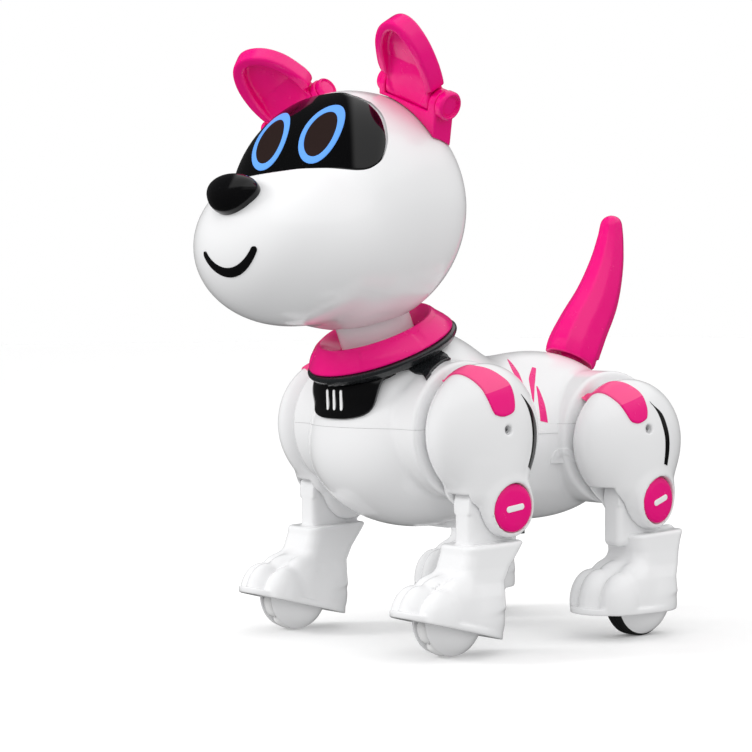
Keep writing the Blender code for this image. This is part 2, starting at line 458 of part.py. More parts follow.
# ---------------------------------------------------------------- legs
for end, (ky, kz, hy, hz, wy) in {"front": (FK_Y, FK_Z, FRONT_Y, FRONT_Z, FW_Y),
                                  "rear": (RK_Y, RK_Z, REAR_Y, REAR_Z, RW_Y)}.items():
    for side, s in (("left", 1), ("right", -1)):
        tag = f"{end}_{side}"
        flip = Matrix.Diagonal((s, 1, 1, 1))
        hip, knee, wh = "hip_" + tag, "knee_" + tag, "wheel_" + tag
        mid = ((hy + ky) / 2, (hz + kz) / 2)
        # upper leg: shoulder dome, thigh and knee lobes, flat inside
        ub = [((53, hy, hz), (14.5, 29, 29)), ((54, mid[0], mid[1] - 3), (12, 15, 18)), ((55, ky, kz), (9.5, 12, 11.8))]
        if end == "rear":
            ub[0] = ((53, hy, hz - 1), (14.5, 30, 27.5))
        bm = blob((54, hy * 0.6 + ky * 0.4, hz * 0.6 + kz * 0.4), ub, 18, 13, k=3.5)
        bmesh.ops.transform(bm, matrix=flip, verts=bm.verts)
        up_leg = finish("upper_leg_" + tag, bm, "white", hip)
        boolean(up_leg, finish("knee_hub_" + tag, cyl((s * 46.2, ky, kz), (s * 66.2, ky, kz), KNEE_R, 24), None, cutter=True), 'UNION')
        boolean(up_leg, finish("flat_" + tag, box((0, hy - 60, 0), (LEG_IN, hy + 70, 160), matrix=flip), None, cutter=True))
        arch = [(ky + 15.6 * math.cos(math.radians(a)), kz + 15.6 * math.sin(math.radians(a))) for a in range(-8, 160, 14)]
        arch = [(ky + 30, kz - 30), (ky + 30, kz - 3)] + arch + [(ky - 30, kz + 6), (ky - 30, kz - 30)]
        boolean(up_leg, finish("knee_slot_" + tag, prism(arch, s * 49.2, s * 60.8), None, cutter=True))
        boolean(up_leg, finish("knee_bore_" + tag, cyl((s * 40, ky, kz), (s * 80, ky, kz), 2.6, 14), None, cutter=True))
        boolean(up_leg, finish("cap_seat_" + tag, cyl((s * 63.9, ky, kz), (s * 80, ky, kz), 10.6, 24), None, cutter=True))
        boolean(up_leg, finish("hip_bore_" + tag, cyl((s * 40, hy, hz), (s * 50, hy, hz), 3.2, 16), None, cutter=True))
        # knee pin with its round cap
        turned("knee_pin_" + tag, [(0, 12.4), (8.2, 12.0), (10.2, 10.9), (10.2, 9.3), (2.3, 9.3), (2.3, -9.6), (0, -9.6)], "pink", hip,
               at=(s * LEG_X, ky, kz), rot=Matrix.Rotation(s * math.pi / 2, 4, 'Y'), steps=24)
        # lower leg: knuckle, shin and paw in one moulding
        dy = wy - ky
        if end == "front":
            secs = [(55, wy + 0.5, 12.6, 15.4, 24.0, 3.0, -14), (55, wy + 1.0, 17.5, 16.6, 23.5, 2.8, -14), (55, wy + 4.5, 24.5, 14.6, 18.5, 2.4, -16),
                    (55, wy + 9.5, 31.5, 11.8, 14.0, 2.4, -12), (55, wy + 14.5, 39.5, 11.0, 13.5, 2.4, -6), (55, wy + 19.5, 46.5, 10.6, 17.0, 2.4, 4)]
        else:
            secs = [(55, wy - 7.5, 14.2, 15.4, 26.5, 3.0, 0), (55, wy - 7.0, 18.5, 16.4, 25.5, 2.8, 0), (55, wy - 3.0, 25.5, 14.4, 19.5, 2.4, 0),
                    (55, wy + 3.5, 32.5, 11.8, 14.5, 2.4, 0), (55, wy + 4.0, 38.5, 11.0, 14.5, 2.4, 4), (55, wy + 4.5, 45.5, 10.6, 17.0, 2.4, 6)]
        lower = finish("lower_leg_" + tag, loft(secs, 18, flip), "white", knee)
        boolean(lower, finish("thigh_room_" + tag, cyl((s * 30, ky, kz), (s * 80, ky, kz), 14.2, 24), None, cutter=True))
        boolean(lower, finish("knuckle_" + tag, cyl((s * 49.8, ky, kz), (s * 60.2, ky, kz), 11.0, 20), None, cutter=True), 'UNION')
        fy = ky - (13.0 if end == "front" else 12.0)
        boolean(lower, finish("knee_block_" + tag, box((s * 55 - 5.2, fy - 6.5, 41.0), (s * 55 + 5.2, ky + 7, kz - 0.5), 2.0, 1), None, cutter=True), 'UNION')
        boolean(lower, finish("pin_bore_" + tag, cyl((s * 40, ky, kz), (s * 80, ky, kz), 2.6, 14), None, cutter=True))
        boolean(lower, finish("wheel_well_" + tag, cyl((s * (55 - 13.0), wy, WHEEL_R), (s * (55 + 13.0), wy, WHEEL_R), WHEEL_R + 1.6, 24), None, cutter=True))
        boolean(lower, finish("axle_hole_" + tag, cyl((s * 36, wy, WHEEL_R), (s * 74, wy, WHEEL_R), 1.75, 12), None, cutter=True))
        # wheel, tyre and axle
        prof = [(2.0, 12.0), (8.0, 11.2), (12.2, 8.4), (14.9, 4.6), (WHEEL_R - 0.4, 4.0)]
        if end == "rear":
            hub = prof[:3] + [(14.9, 4.2), (13.2, 4.2), (13.2, -4.2), (14.9, -4.2)] + [(r, -h) for r, h in prof[2::-1]]
            turned("tyre_" + tag, [(WHEEL_R - 0.5, 3.9), (WHEEL_R, 3.0), (WHEEL_R, -3.0), (WHEEL_R - 0.5, -3.9), (13.5, -3.9), (13.5, 3.9)], "rubber", wh,
                   at=(s * LEG_X, wy, WHEEL_R), rot=ROT_X, steps=22)
        else:
            hub = prof[:3] + [(14.9, 4.6), (WHEEL_R, 3.4), (WHEEL_R, -3.4), (14.9, -4.6)] + [(r, -h) for r, h in prof[2::-1]]
        turned("wheel_" + tag, hub, "white", wh, at=(s * LEG_X, wy, WHEEL_R), rot=ROT_X, steps=22)
        finish("wheel_axle_" + tag, cyl((s * 40.6, wy, WHEEL_R), (s * 69.4, wy, WHEEL_R), 1.5, 12), "steel", knee)
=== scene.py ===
"""Looks of the robot dog toy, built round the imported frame. Working units are millimetres; every mesh
is scaled to metres and put in the frame's place when it is finished."""
import math
import bpy
import bmesh
import numpy as np
from mathutils import Matrix, Vector


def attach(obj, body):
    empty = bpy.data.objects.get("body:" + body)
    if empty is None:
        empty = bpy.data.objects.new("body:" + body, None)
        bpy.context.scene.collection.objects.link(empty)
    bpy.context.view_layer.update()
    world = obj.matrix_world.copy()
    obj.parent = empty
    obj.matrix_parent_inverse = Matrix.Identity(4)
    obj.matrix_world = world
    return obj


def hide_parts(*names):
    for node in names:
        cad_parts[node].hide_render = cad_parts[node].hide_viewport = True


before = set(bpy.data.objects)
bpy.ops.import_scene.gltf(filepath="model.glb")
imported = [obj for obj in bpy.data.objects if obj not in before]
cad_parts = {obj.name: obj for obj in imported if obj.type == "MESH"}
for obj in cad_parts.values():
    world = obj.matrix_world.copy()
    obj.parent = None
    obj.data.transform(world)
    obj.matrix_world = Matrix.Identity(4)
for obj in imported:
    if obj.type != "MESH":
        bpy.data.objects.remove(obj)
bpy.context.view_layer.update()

# ------------------------------------------------------------------ the design's own numbers (mm)
SHIFT = np.array((0.0, 19.78, 0.0))
SEAM_Y, SPLIT_Z = -38.0, 95.0
FRONT_Y, FRONT_Z, REAR_Y, REAR_Z = -33.0, 94.0, 52.0, 88.0
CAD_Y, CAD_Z, RK_Y, RK_Z = -27.0, 62.0, 58.5, 61.0
LEG_X, WHEEL_R, FW_Y, RW_Y = 55.0, 16.0, -54.0, 56.0
COLLAR_C = np.array((0.0, -46.5, 130.0))
TILT_DEG, HEAD_YAW = 23.0, 8.8
AXIS = np.array((0.0, -math.sin(math.radians(TILT_DEG)), math.cos(math.radians(TILT_DEG))))
EAR_PIVOT, EAR_SLOPE, EAR_LEAN, BASE_LEAN = (35.2, -55.2, 236.6), 24.0, {1: 38.0, -1: 51.0}, 14.0
TILT = Matrix.Rotation(math.radians(TILT_DEG), 4, 'X')
UP = Matrix.Translation(Vector(COLLAR_C)) @ TILT
YAW = (Matrix.Translation(Vector(COLLAR_C)) @ Matrix.Rotation(math.radians(HEAD_YAW), 4, Vector(AXIS))
       @ Matrix.Translation(-Vector(COLLAR_C)))

# ------------------------------------------------------------------ signed distances (points are N x 3 arrays)


def blob_d(P, c, r, pw=2.0):
    q = np.abs(P - np.array(c, float)) / np.array(r, float) + 1e-9
    rh = (q[:, 0] ** pw + q[:, 1] ** pw) ** (1 / pw)
    k0 = np.sqrt(rh ** 2 + q[:, 2] ** 2)
    gx = rh ** (2 - pw) * q[:, 0] ** (pw - 1) / r[0]
    gy = rh ** (2 - pw) * q[:, 1] ** (pw - 1) / r[1]
    return (k0 - 1.0) * k0 / np.sqrt(gx ** 2 + gy ** 2 + (q[:, 2] / r[2]) ** 2)


def blobs_d(P, blobs, k):
    total = np.zeros(len(P))
    for c, r, *more in blobs:
        total += np.exp(-np.clip(blob_d(P, c, r, *more) / k, -60, 60))
    return -k * np.log(total)


def box_d(P, c, h, rad=0.0):
    q = np.abs(P - np.array(c, float)) - (np.array(h, float) - rad)
    return np.linalg.norm(np.maximum(q, 0), axis=1) + np.minimum(q.max(1), 0) - rad


def cyl_d(P, p0, p1, r, rad=0.0, r2=None):
    p0, p1 = np.array(p0, float), np.array(p1, float)
    a = p1 - p0
    length = np.linalg.norm(a)
    a = a / length
    t = (P - p0) @ a
    radial = np.linalg.norm(P - p0 - t[:, None] * a, axis=1)
    rr = r if r2 is None else r + (r2 - r) * np.clip(t / length, 0, 1)
    q = np.stack([radial - (rr - rad), np.abs(t - length / 2) - (length / 2 - rad)], 1)
    return np.linalg.norm(np.maximum(q, 0), axis=1) + np.minimum(q.max(1), 0) - rad


def cone_d(P, a, b, ra, rb, sx=1.0):
    """Round cone from a to b; sx squeezes it along X."""
    s = np.array((sx, 1.0, 1.0))
    a, b, Q = np.array(a, float) * s, np.array(b, float) * s, P * s
    ab = b - a
    t = np.clip(((Q - a) @ ab) / (ab @ ab), 0, 1)
    return np.linalg.norm(Q - a - t[:, None] * ab, axis=1) - (ra + (rb - ra) * t)


def smin(a, b, k):
    h = np.clip(0.5 + 0.5 * (b - a) / k, 0, 1)
    return b * (1 - h) + a * h - k * h * (1 - h)


def smax(a, b, k):
    return -smin(-a, -b, k)


def poly_d(u, v, pts):
    """Signed distance to a closed polygon in the plane."""
    pts = np.array(pts, float)
    best = np.full(len(u), 1e9)
    inside = np.zeros(len(u), bool)
    for (x0, y0), (x1, y1) in zip(pts, np.roll(pts, -1, 0)):
        ex, ey = x1 - x0, y1 - y0
        t = np.clip(((u - x0) * ex + (v - y0) * ey) / (ex * ex + ey * ey + 1e-12), 0, 1)
        best = np.minimum(best, (u - x0 - t * ex) ** 2 + (v - y0 - t * ey) ** 2)
        cross = (y0 > v) != (y1 > v)
        with np.errstate(divide='ignore', invalid='ignore'):
            xi = x0 + (v - y0) * ex / (ey if ey else 1e-12)
        inside ^= cross & (u < xi)
    return np.where(inside, -1, 1) * np.sqrt(best)


def spline(pts, n, closed=True):
    """Catmull-Rom through the points, n samples per span."""
    p = np.array(pts, float)
    m = len(p)
    out = []
    for i in range(m if closed else m - 1):
        if closed:
            a, b, c, d = p[i - 1], p[i], p[(i + 1) % m], p[(i + 2) % m]
        else:
            a, b, c, d = p[max(i - 1, 0)], p[i], p[i + 1], p[min(i + 2, m - 1)]
        for j in range(n):
            t = j / n
            out.append(0.5 * (2 * b + (c - a) * t + (2 * a - 5 * b + 4 * c - d) * t * t + (3 * b - a - 3 * c + d) * t ** 3))
    if not closed:
        out.append(p[-1])
    return np.array(out)


def gradient(f, P, e=0.05):
    g = np.empty_like(P)
    for k in range(3):
        d = np.zeros(3)
        d[k] = e
        g[:, k] = (f(P + d) - f(P - d)) / (2 * e)
    return g


def surface(f, lo, hi, h, passes=3):
    """Naive surface nets of f = 0 in a box, then pulled onto the exact surface. Returns vertices and quads."""
    lo, hi = np.array(lo, float), np.array(hi, float)
    n = np.ceil((hi - lo) / h).astype(int) + 1
    ax = [lo[k] + h * np.arange(n[k]) for k in range(3)]
    V = np.empty(n)
    yz = np.stack(np.meshgrid(ax[1], ax[2], indexing='ij'), -1).reshape(-1, 2)
    step = max(1, int(400000 // len(yz)))
    for i in range(0, n[0], step):
        xs = ax[0][i:i + step]
        P = np.concatenate([np.repeat(xs, len(yz))[:, None], np.tile(yz, (len(xs), 1))], 1)
        V[i:i + step] = f(P).reshape(len(xs), n[1], n[2])
    S = V < 0
    corner = [(a, b, c) for a in (0, 1) for b in (0, 1) for c in (0, 1)]
    sl = lambda A, o: A[o[0]:n[0] - 1 + o[0], o[1]:n[1] - 1 + o[1], o[2]:n[2] - 1 + o[2]]
    cnt = sum(sl(S, o).astype(np.int8) for o in corner)
    active = (cnt > 0) & (cnt < 8)
    idx = np.full(active.shape, -1)
    cells = np.argwhere(active)
    idx[active] = np.arange(len(cells))
    vals = {o: V[cells[:, 0] + o[0], cells[:, 1] + o[1], cells[:, 2] + o[2]] for o in corner}
    acc = np.zeros((len(cells), 3))
    num = np.zeros(len(cells))
    for a in corner:
        for k in range(3):
            if a[k]:
                continue
            b = list(a)
            b[k] = 1
            va, vb = vals[a], vals[tuple(b)]
            m = (va < 0) != (vb < 0)
            t = np.where(m, va / np.where(m, va - vb, 1), 0)
            p = np.tile(np.array(a, float), (len(cells), 1))
            p[:, k] += t
            acc += p * m[:, None]
            num += m
    P = lo + h * (cells + acc / num[:, None])
    quads = []
    for k in range(3):
        u, v = (k + 1) % 3, (k + 2) % 3
        o0, o1 = [0, 0, 0], [0, 0, 0]
        o1[k] = 1
        A = S[:n[0] - o1[0], :n[1] - o1[1], :n[2] - o1[2]]
        B = S[o1[0]:, o1[1]:, o1[2]:]
        e = np.argwhere(A != B)
        ok = (e[:, u] > 0) & (e[:, u] < n[u] - 1) & (e[:, v] > 0) & (e[:, v] < n[v] - 1)
        e = e[ok]
        first = A[e[:, 0], e[:, 1], e[:, 2]]
        c = []
        for du, dv in ((-1, -1), (0, -1), (0, 0), (-1, 0)):
            q = e.copy()
            q[:, u] += du
            q[:, v] += dv
            c.append(idx[q[:, 0], q[:, 1], q[:, 2]])
        c = np.stack(c, 1)
        c[~first] = c[~first][:, ::-1]
        quads.append(c)
    for _ in range(passes):
        g = gradient(f, P)
        d = f(P)
        step_ = d[:, None] * g / np.maximum((g * g).sum(1), 0.09)[:, None]
        m = np.linalg.norm(step_, axis=1)
        step_ *= np.minimum(1, 0.5 * h / np.maximum(m, 1e-9))[:, None]
        P = P - step_
    return P, np.concatenate(quads)


def cast(f, O, D, t0, t1, level=0.0, steps=24, march=40):
    """First crossing of f = level from t0 to t1 along D from each O; a ray that misses keeps its nearest point."""
    D = np.broadcast_to(D, O.shape)
    lo, hi = np.full(len(O), float(t0)), np.full(len(O), float(t1))
    found = np.zeros(len(O), bool)
    near, best = np.full(len(O), float(t0)), np.full(len(O), 1e9)
    prev = float(t0)
    for t in np.linspace(t0, t1, march + 1)[1:]:
        todo = ~found
        if not todo.any():
            break
        v = f(O[todo] + D[todo] * t) - level
        i = np.where(todo)[0]
        closer = v < best[i]
        near[i[closer]], best[i[closer]] = t, v[closer]
        h = i[v < 0]
        found[h] = True
        lo[h], hi[h] = prev, t
        prev = t
    for _ in range(steps):
        m = (lo + hi) / 2
        inside = f(O + D * m[:, None]) < level
        hi = np.where(inside, m, hi)
        lo = np.where(inside, lo, m)
    return O + D * np.where(found, (lo + hi) / 2, near)[:, None]


def aim(w, origin, reach=60.0):
    """A way to lay flat outlines on a surface: looks along -w at origin. Gives flat(P3), to3(P2) and the direction."""
    w = np.array(w, float) / np.linalg.norm(w)
    u = np.cross((0.0, 0.0, 1.0), w)
    u /= np.linalg.norm(u)
    v = np.cross(w, u)
    o = np.array(origin, float)

    def flat(P3):
        return np.stack([(np.array(P3, float) - o) @ u, (np.array(P3, float) - o) @ v], 1)

    def to3(P2):
        return o + P2[:, :1] * u + P2[:, 1:2] * v + w * reach

    return flat, to3, -w


# ------------------------------------------------------------------ from numbers to pieces
PIECES = {}


def piece(name, verts, faces, mat, body, replaces=(), matrix=None, mirror=False, smooth=True, sharp=None, fold=None):
    verts = np.array(verts, float)
    faces = [list(map(int, q)) for q in faces]
    if matrix is not None:
        m = np.array(matrix)
        verts = verts @ m[:3, :3].T + m[:3, 3]
    if mirror:
        verts = verts * np.array((-1.0, 1, 1))
        faces = [q[::-1] for q in faces]
    me = bpy.data.meshes.new(name)
    me.from_pydata(((verts + SHIFT) * 0.001).tolist(), [], faces)
    me.validate()
    bm = bmesh.new()
    bm.from_mesh(me)
    bmesh.ops.remove_doubles(bm, verts=bm.verts, dist=1e-7)
    bmesh.ops.recalc_face_normals(bm, faces=bm.faces)
    bm.to_mesh(me)
    bm.free()
    ob = bpy.data.objects.new(name, me)
    bpy.context.scene.collection.objects.link(ob)
    me.materials.append(mat)
    if smooth:
        me.shade_smooth()
        if sharp:
            me.set_sharp_from_angle(angle=math.radians(sharp))
    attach(ob, body)
    for node in replaces:
        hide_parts(node)
    PIECES[name] = ob
    return ob


def solid(name, f, lo, hi, h, mat, body, replaces=(), matrix=None, mirror=False):
    v, q = surface(f, lo, hi, h)
    return piece(name, v, q, mat, body, replaces, matrix, mirror)


def rings_mesh(rings, cap0=True, cap1=True, closed=True):
    """Quads between rings of equal length; optional centre-fan caps."""
    n = len(rings[0])
    verts = np.concatenate(rings)
    faces = []
    for r in range(len(rings) - 1):
        for i in range(n if closed else n - 1):
            j = (i + 1) % n
            faces.append((r * n + i, r * n + j, (r + 1) * n + j, (r + 1) * n + i))
    verts = list(verts)
    for on, r in ((cap0, 0), (cap1, len(rings) - 1)):
        if on:
            verts.append(np.mean(rings[r], 0))
            c = len(verts) - 1
            for i in range(n):
                j = (i + 1) % n
                faces.append((r * n + j, r * n + i, c) if r == 0 else (r * n + i, r * n + j, c))
    return np.array(verts), faces


def lathe(name, profile, mat, body, matrix, steps=96, replaces=(), mirror=False, sharp=50):
    """Profile of (radius, height) turned about Z; a profile that starts and ends on the axis, or a closed loop."""
    prof = [tuple(p) for p in profile]
    closed = prof[0][0] > 1e-6
    rings = []
    for r, z in prof:
        a = np.linspace(0, 2 * math.pi, steps, endpoint=False)
        rings.append(np.stack([max(r, 1e-5) * np.cos(a), max(r, 1e-5) * np.sin(a), np.full(steps, z)], 1))
    if closed:
        rings.append(rings[0].copy())
    v, f = rings_mesh(rings, cap0=not closed, cap1=not closed)
    return piece(name, v, f, mat, body, replaces, matrix, mirror, sharp=sharp)


def fillet(pts, r, n=4, closed=False):
    """Rounds each inner corner of a profile of points with a radius no more than a third of its sides."""
    out = []
    m = len(pts)
    for i, p in enumerate(pts):
        p = np.array(p, float)
        if not closed and i in (0, m - 1):
            out.append(tuple(p))
            continue
        a, b = np.array(pts[i - 1], float), np.array(pts[(i + 1) % m], float)
        la, lb = np.linalg.norm(a - p), np.linalg.norm(b - p)
        k = min(r, la * 0.4, lb * 0.4)
        s, e = p + (a - p) / la * k, p + (b - p) / lb * k
        for j in range(n + 1):
            t = j / n
            out.append(tuple((1 - t) ** 2 * s + 2 * t * (1 - t) * p + t * t * e))
    return out


def plate(name, outline, f, to3, direction, t0, t1, mat, body, height=0.8, sink=0.8, edge=0.8, rings=14,
          replaces=(), matrix=None, mirror=False, centre=None, crown=None):
    """A thin plate with a rounded rim that follows the surface f = 0: outline is a closed loop of plane points,
    to3 maps plane points to space, and direction is the way they are cast onto the surface."""
    out = np.array(outline, float)
    c = out.mean(0) if centre is None else np.array(centre, float)
    seg = np.linalg.norm(out - c, axis=1)
    loops, levels = [], []
    rim = [(0.0, -sink), (0.0, 0.0), (0.05, 0.45), (0.22, 0.78), (0.55, 0.95), (1.0, 1.0)]
    for u, lv in rim:
        k = 1 - u * edge / seg
        loops.append(c + (out - c) * k[:, None])
        levels.append(np.full(len(out), lv * height if lv > 0 else lv))
    for i in range(1, rings):
        s = 1 - i / rings
        k = (1 - edge / seg) * s
        loops.append(c + (out - c) * k[:, None])
        levels.append(np.full(len(out), height))
    loops.append(np.tile(c, (len(out), 1)) + (out - c) * 1e-4)
    levels.append(np.full(len(out), height))
    P2 = np.concatenate(loops)
    lv = np.concatenate(levels)
    O = to3(P2)
    D = np.tile(np.array(direction, float), (len(O), 1))
    S = cast(f, O, D, t0, t1)
    g = gradient(f, S)
    g /= np.linalg.norm(g, axis=1)[:, None]
    if crown is not None:
        lv = lv + crown(P2) * (lv > 0)
    S = S + g * lv[:, None]
    n = len(out)
    verts, faces = rings_mesh([S[i * n:(i + 1) * n] for i in range(len(loops))], cap0=False, cap1=True)
    # close the back: a fan is enough, it is buried in the part below
    back = len(verts)
    verts = np.concatenate([verts, [S[:n].mean(0)]])
    faces += [((i + 1) % n, i, back) for i in range(n)]
    return piece(name, verts, faces, mat, body, replaces, matrix, mirror, sharp=60)


def strip(name, left, right, f, to3, direction, t0, t1, mat, body, height=0.3, sink=0.5, edge=0.3, across=6,
          replaces=(), matrix=None, mirror=False):
    """A long decal between two edge curves of equal length, laid on the surface f = 0."""
    left, right = np.array(left, float), np.array(right, float)
    w = np.maximum(np.linalg.norm(right - left, axis=1), 1e-3)
    rows, lv = [], []
    pos = [(0.0, -sink), (0.0, 0.0), (0.35 * edge, 0.75 * height), (edge, height)]
    for off, z in pos:
        k = np.minimum(off / w, 0.45)
        rows.append(left + (right - left) * k[:, None]); lv.append(np.full(len(left), z))
    for i in range(1, across):
        k = np.minimum(edge / w, 0.45)
        k = k + (1 - 2 * k) * i / across
        rows.append(left + (right - left) * k[:, None]); lv.append(np.full(len(left), height))
    for off, z in pos[::-1]:
        k = 1 - np.minimum(off / w, 0.45)
        rows.append(left + (right - left) * k[:, None]); lv.append(np.full(len(left), z))
    P2, z = np.concatenate(rows), np.concatenate(lv)
    O = to3(P2)
    D = np.tile(np.array(direction, float), (len(O), 1))
    S = cast(f, O, D, t0, t1)
    g = gradient(f, S)
    g /= np.linalg.norm(g, axis=1)[:, None]
    S = S + g * z[:, None]
    n = len(left)
    m = len(rows)
    # turn rows into cross-section rings along the strip
    R = S.reshape(m, n, 3).transpose(1, 0, 2)
    v, faces = rings_mesh(list(R), cap0=True, cap1=True)
    return piece(name, v, faces, mat, body, replaces, matrix, mirror, sharp=60)


# ------------------------------------------------------------------ materials


def lin(r, g, b):
    return tuple((c / 255 / 12.92) if c / 255 <= 0.04045 else ((c / 255 + 0.055) / 1.055) ** 2.4 for c in (r, g, b))


def plastic(name, rgb, rough, spread=0.03, orange_peel=0.02, tint=0.04, coat=0.0, coat_rough=0.03, ior=1.5,
            specular=0.5, metallic=0.0, patch=45.0, grain=1500.0, stretch=(1, 1, 1), emission=0.0, grit=0.0, sss=0.0):
    """Moulded plastic: faint moulding variation in colour and gloss, with a fine skin texture as bump."""
    m = bpy.data.materials.new(name)
    m.use_nodes = True
    nt = m.node_tree
    b = nt.nodes["Principled BSDF"]
    N = lambda kind: nt.nodes.new(kind)
    tc = N("ShaderNodeTexCoord")
    mp = N("ShaderNodeMapping")
    mp.inputs["Scale"].default_value = stretch
    nt.links.new(tc.outputs["Object"], mp.inputs["Vector"])

    def noise(scale, detail, rough_=0.5):
        n = N("ShaderNodeTexNoise")
        n.inputs["Scale"].default_value = scale
        n.inputs["Detail"].default_value = detail
        n.inputs["Roughness"].default_value = rough_
        nt.links.new(mp.outputs["Vector"], n.inputs["Vector"])
        return n

    broad, fine, mid = noise(patch, 2.0), noise(grain, 3.0), noise(190.0, 4.0, 0.6)
    mix = N("ShaderNodeMix")
    mix.data_type = 'RGBA'
    mix.inputs[6].default_value = (*rgb, 1)
    mix.inputs[7].default_value = (*[max(0.0, c * (1 - tint)) for c in rgb], 1)
    nt.links.new(broad.outputs["Fac"], mix.inputs[0])
    nt.links.new(mix.outputs[2], b.inputs["Base Color"])
    mr = N("ShaderNodeMapRange")
    mr.inputs["From Min"].default_value = 0.3
    mr.inputs["From Max"].default_value = 0.7
    mr.inputs["To Min"].default_value = max(0.02, rough - spread)
    mr.inputs["To Max"].default_value = rough + spread
    nt.links.new(mid.outputs["Fac"], mr.inputs["Value"])
    nt.links.new(mr.outputs["Result"], b.inputs["Roughness"])
    bump = N("ShaderNodeBump")
    bump.inputs["Strength"].default_value = orange_peel
    bump.inputs["Distance"].default_value = 0.0004
    nt.links.new(fine.outputs["Fac"], bump.inputs["Height"])
    last = bump
    if grit:
        coarse = noise(3800.0, 2.0, 0.7)
        b2 = N("ShaderNodeBump")
        b2.inputs["Strength"].default_value = grit
        b2.inputs["Distance"].default_value = 0.0002
        nt.links.new(coarse.outputs["Fac"], b2.inputs["Height"])
        nt.links.new(bump.outputs["Normal"], b2.inputs["Normal"])
        last = b2
    nt.links.new(last.outputs["Normal"], b.inputs["Normal"])
    b.inputs["Metallic"].default_value = metallic
    b.inputs["IOR"].default_value = ior
    b.inputs["Specular IOR Level"].default_value = specular
    b.inputs["Coat Weight"].default_value = coat
    b.inputs["Coat Roughness"].default_value = coat_rough
    if sss:
        b.inputs["Subsurface Weight"].default_value = sss
        b.inputs["Subsurface Radius"].default_value = (0.004, 0.003, 0.003)
        b.inputs["Subsurface Scale"].default_value = 0.4
    if emission:
        b.inputs["Emission Color"].default_value = (*rgb, 1)
        b.inputs["Emission Strength"].default_value = emission
    return m


WHITE = plastic("white gloss plastic", (0.86, 0.862, 0.87), 0.20, 0.035, 0.010, 0.015, specular=0.4, coat=0.15, coat_rough=0.05)
WHITE_IN = plastic("white satin plastic", (0.80, 0.80, 0.81), 0.30, 0.05, 0.02, 0.02)
PINK = plastic("pink gloss plastic", lin(242, 0, 128), 0.24, 0.04, 0.012, 0.05, specular=0.35, coat=0.18, coat_rough=0.08)
PINK_PAINT = plastic("pink printed mark", lin(242, 0, 128), 0.28, 0.05, 0.02, 0.05, coat=0.1)
BLACK = plastic("black gloss plastic", (0.0045, 0.0045, 0.005), 0.14, 0.03, 0.008, 0.2, specular=0.4, coat=0.0)
SCREEN = plastic("black display cover", (0.0022, 0.0022, 0.0026), 0.07, 0.02, 0.004, 0.2, specular=0.5, coat=0.0)
PUPIL = plastic("dark display glass", lin(44, 32, 30), 0.35, 0.03, 0.004, 0.12, specular=0.08)
EYE_BLUE = plastic("lit blue ring", lin(96, 158, 240), 0.35, 0.03, 0.004, 0.04, specular=0.15, emission=0.10)
GREY = plastic("dark grey plastic", (0.018, 0.020, 0.022), 0.26, 0.05, 0.03, 0.15, coat=0.25, coat_rough=0.08)
# painted shadow: grey standing in for the shade inside joint gaps
SHADOW_GAP = plastic("painted shadow for joint gaps", (0.16, 0.16, 0.17), 0.5, 0.06, 0.03, 0.1)
RUBBER = plastic("black rubber tyre", (0.012, 0.012, 0.012), 0.62, 0.08, 0.06, 0.2, grit=0.5, specular=0.35)
STEEL = plastic("zinc plated steel", (0.62, 0.62, 0.63), 0.28, 0.08, 0.03, 0.08, metallic=1.0, stretch=(1, 14, 14))
BOARD = plastic("green circuit board", lin(20, 92, 48), 0.42, 0.08, 0.05, 0.3, patch=600.0)
PALE = plastic("pale printed white", (0.90, 0.90, 0.90), 0.24, 0.04, 0.01, 0.02, coat=0.2)
HOLE = plastic("shaded screw recess", lin(150, 152, 156), 0.45, 0.06, 0.04, 0.1)


def painted_highlight_tone(name, base, light, slope, level):
    """A copy of base with a painted highlight: a lighter tone above a leaning line of its own coordinates."""
    m = base.copy()
    m.name = name
    nt = m.node_tree
    b = nt.nodes["Principled BSDF"]
    old = b.inputs["Base Color"].links[0].from_socket
    tc = nt.nodes.new("ShaderNodeTexCoord")
    sp = nt.nodes.new("ShaderNodeSeparateXYZ")
    nt.links.new(tc.outputs["Object"], sp.inputs[0])
    k = nt.nodes.new("ShaderNodeMath")
    k.operation = 'MULTIPLY_ADD'
    nt.links.new(sp.outputs[1], k.inputs[0])
    k.inputs[1].default_value = -slope
    nt.links.new(sp.outputs[2], k.inputs[2])
    r = nt.nodes.new("ShaderNodeMapRange")
    r.inputs["From Min"].default_value = level - 0.00015
    r.inputs["From Max"].default_value = level + 0.00015
    nt.links.new(k.outputs[0], r.inputs["Value"])
    mix = nt.nodes.new("ShaderNodeMix")
    mix.data_type = 'RGBA'
    nt.links.new(r.outputs["Result"], mix.inputs[0])
    nt.links.new(old, mix.inputs[6])
    mix.inputs[7].default_value = (*light, 1)
    nt.links.new(mix.outputs[2], b.inputs["Base Color"])
    return m


# painted highlight: the upper part of each pink shoulder pad is a lighter pink, standing in for the reflection on its
# top face
PAD_HIGHLIGHT_MAT = {"front": painted_highlight_tone("pink pad front with painted highlight", PINK, lin(250, 78, 142), 0.25, 0.1158),
           "rear": painted_highlight_tone("pink pad rear with painted highlight", PINK, lin(250, 78, 142), 0.32, 0.0850)}


# ------------------------------------------------------------------ head
HEAD_CORE = np.array((0.0, -76.0, 184.0))
HEAD_BLOBS = [((0, -64, 188.6), (53.0, 37.0, 51.6), 3.0), ((0, -100.5, 173.0), (44.2, 36.0, 34.0), 2.0)]


def head_f(P):
    return blobs_d(P, HEAD_BLOBS, 6.0)


def brow_f(P):
    """The forehead without the muzzle, which the eye cover follows."""
    return blob_d(P, *HEAD_BLOBS[0]) - 0.3


def wall(P):
    """Shell thickness: thicker under the eye cover's lower edge, where the pocket cuts into the muzzle."""
    return 2.0 + 7.0 * np.exp(-(np.linalg.norm(P - np.array((0, -104.0, 204.0)), axis=1) / 26.0) ** 2)


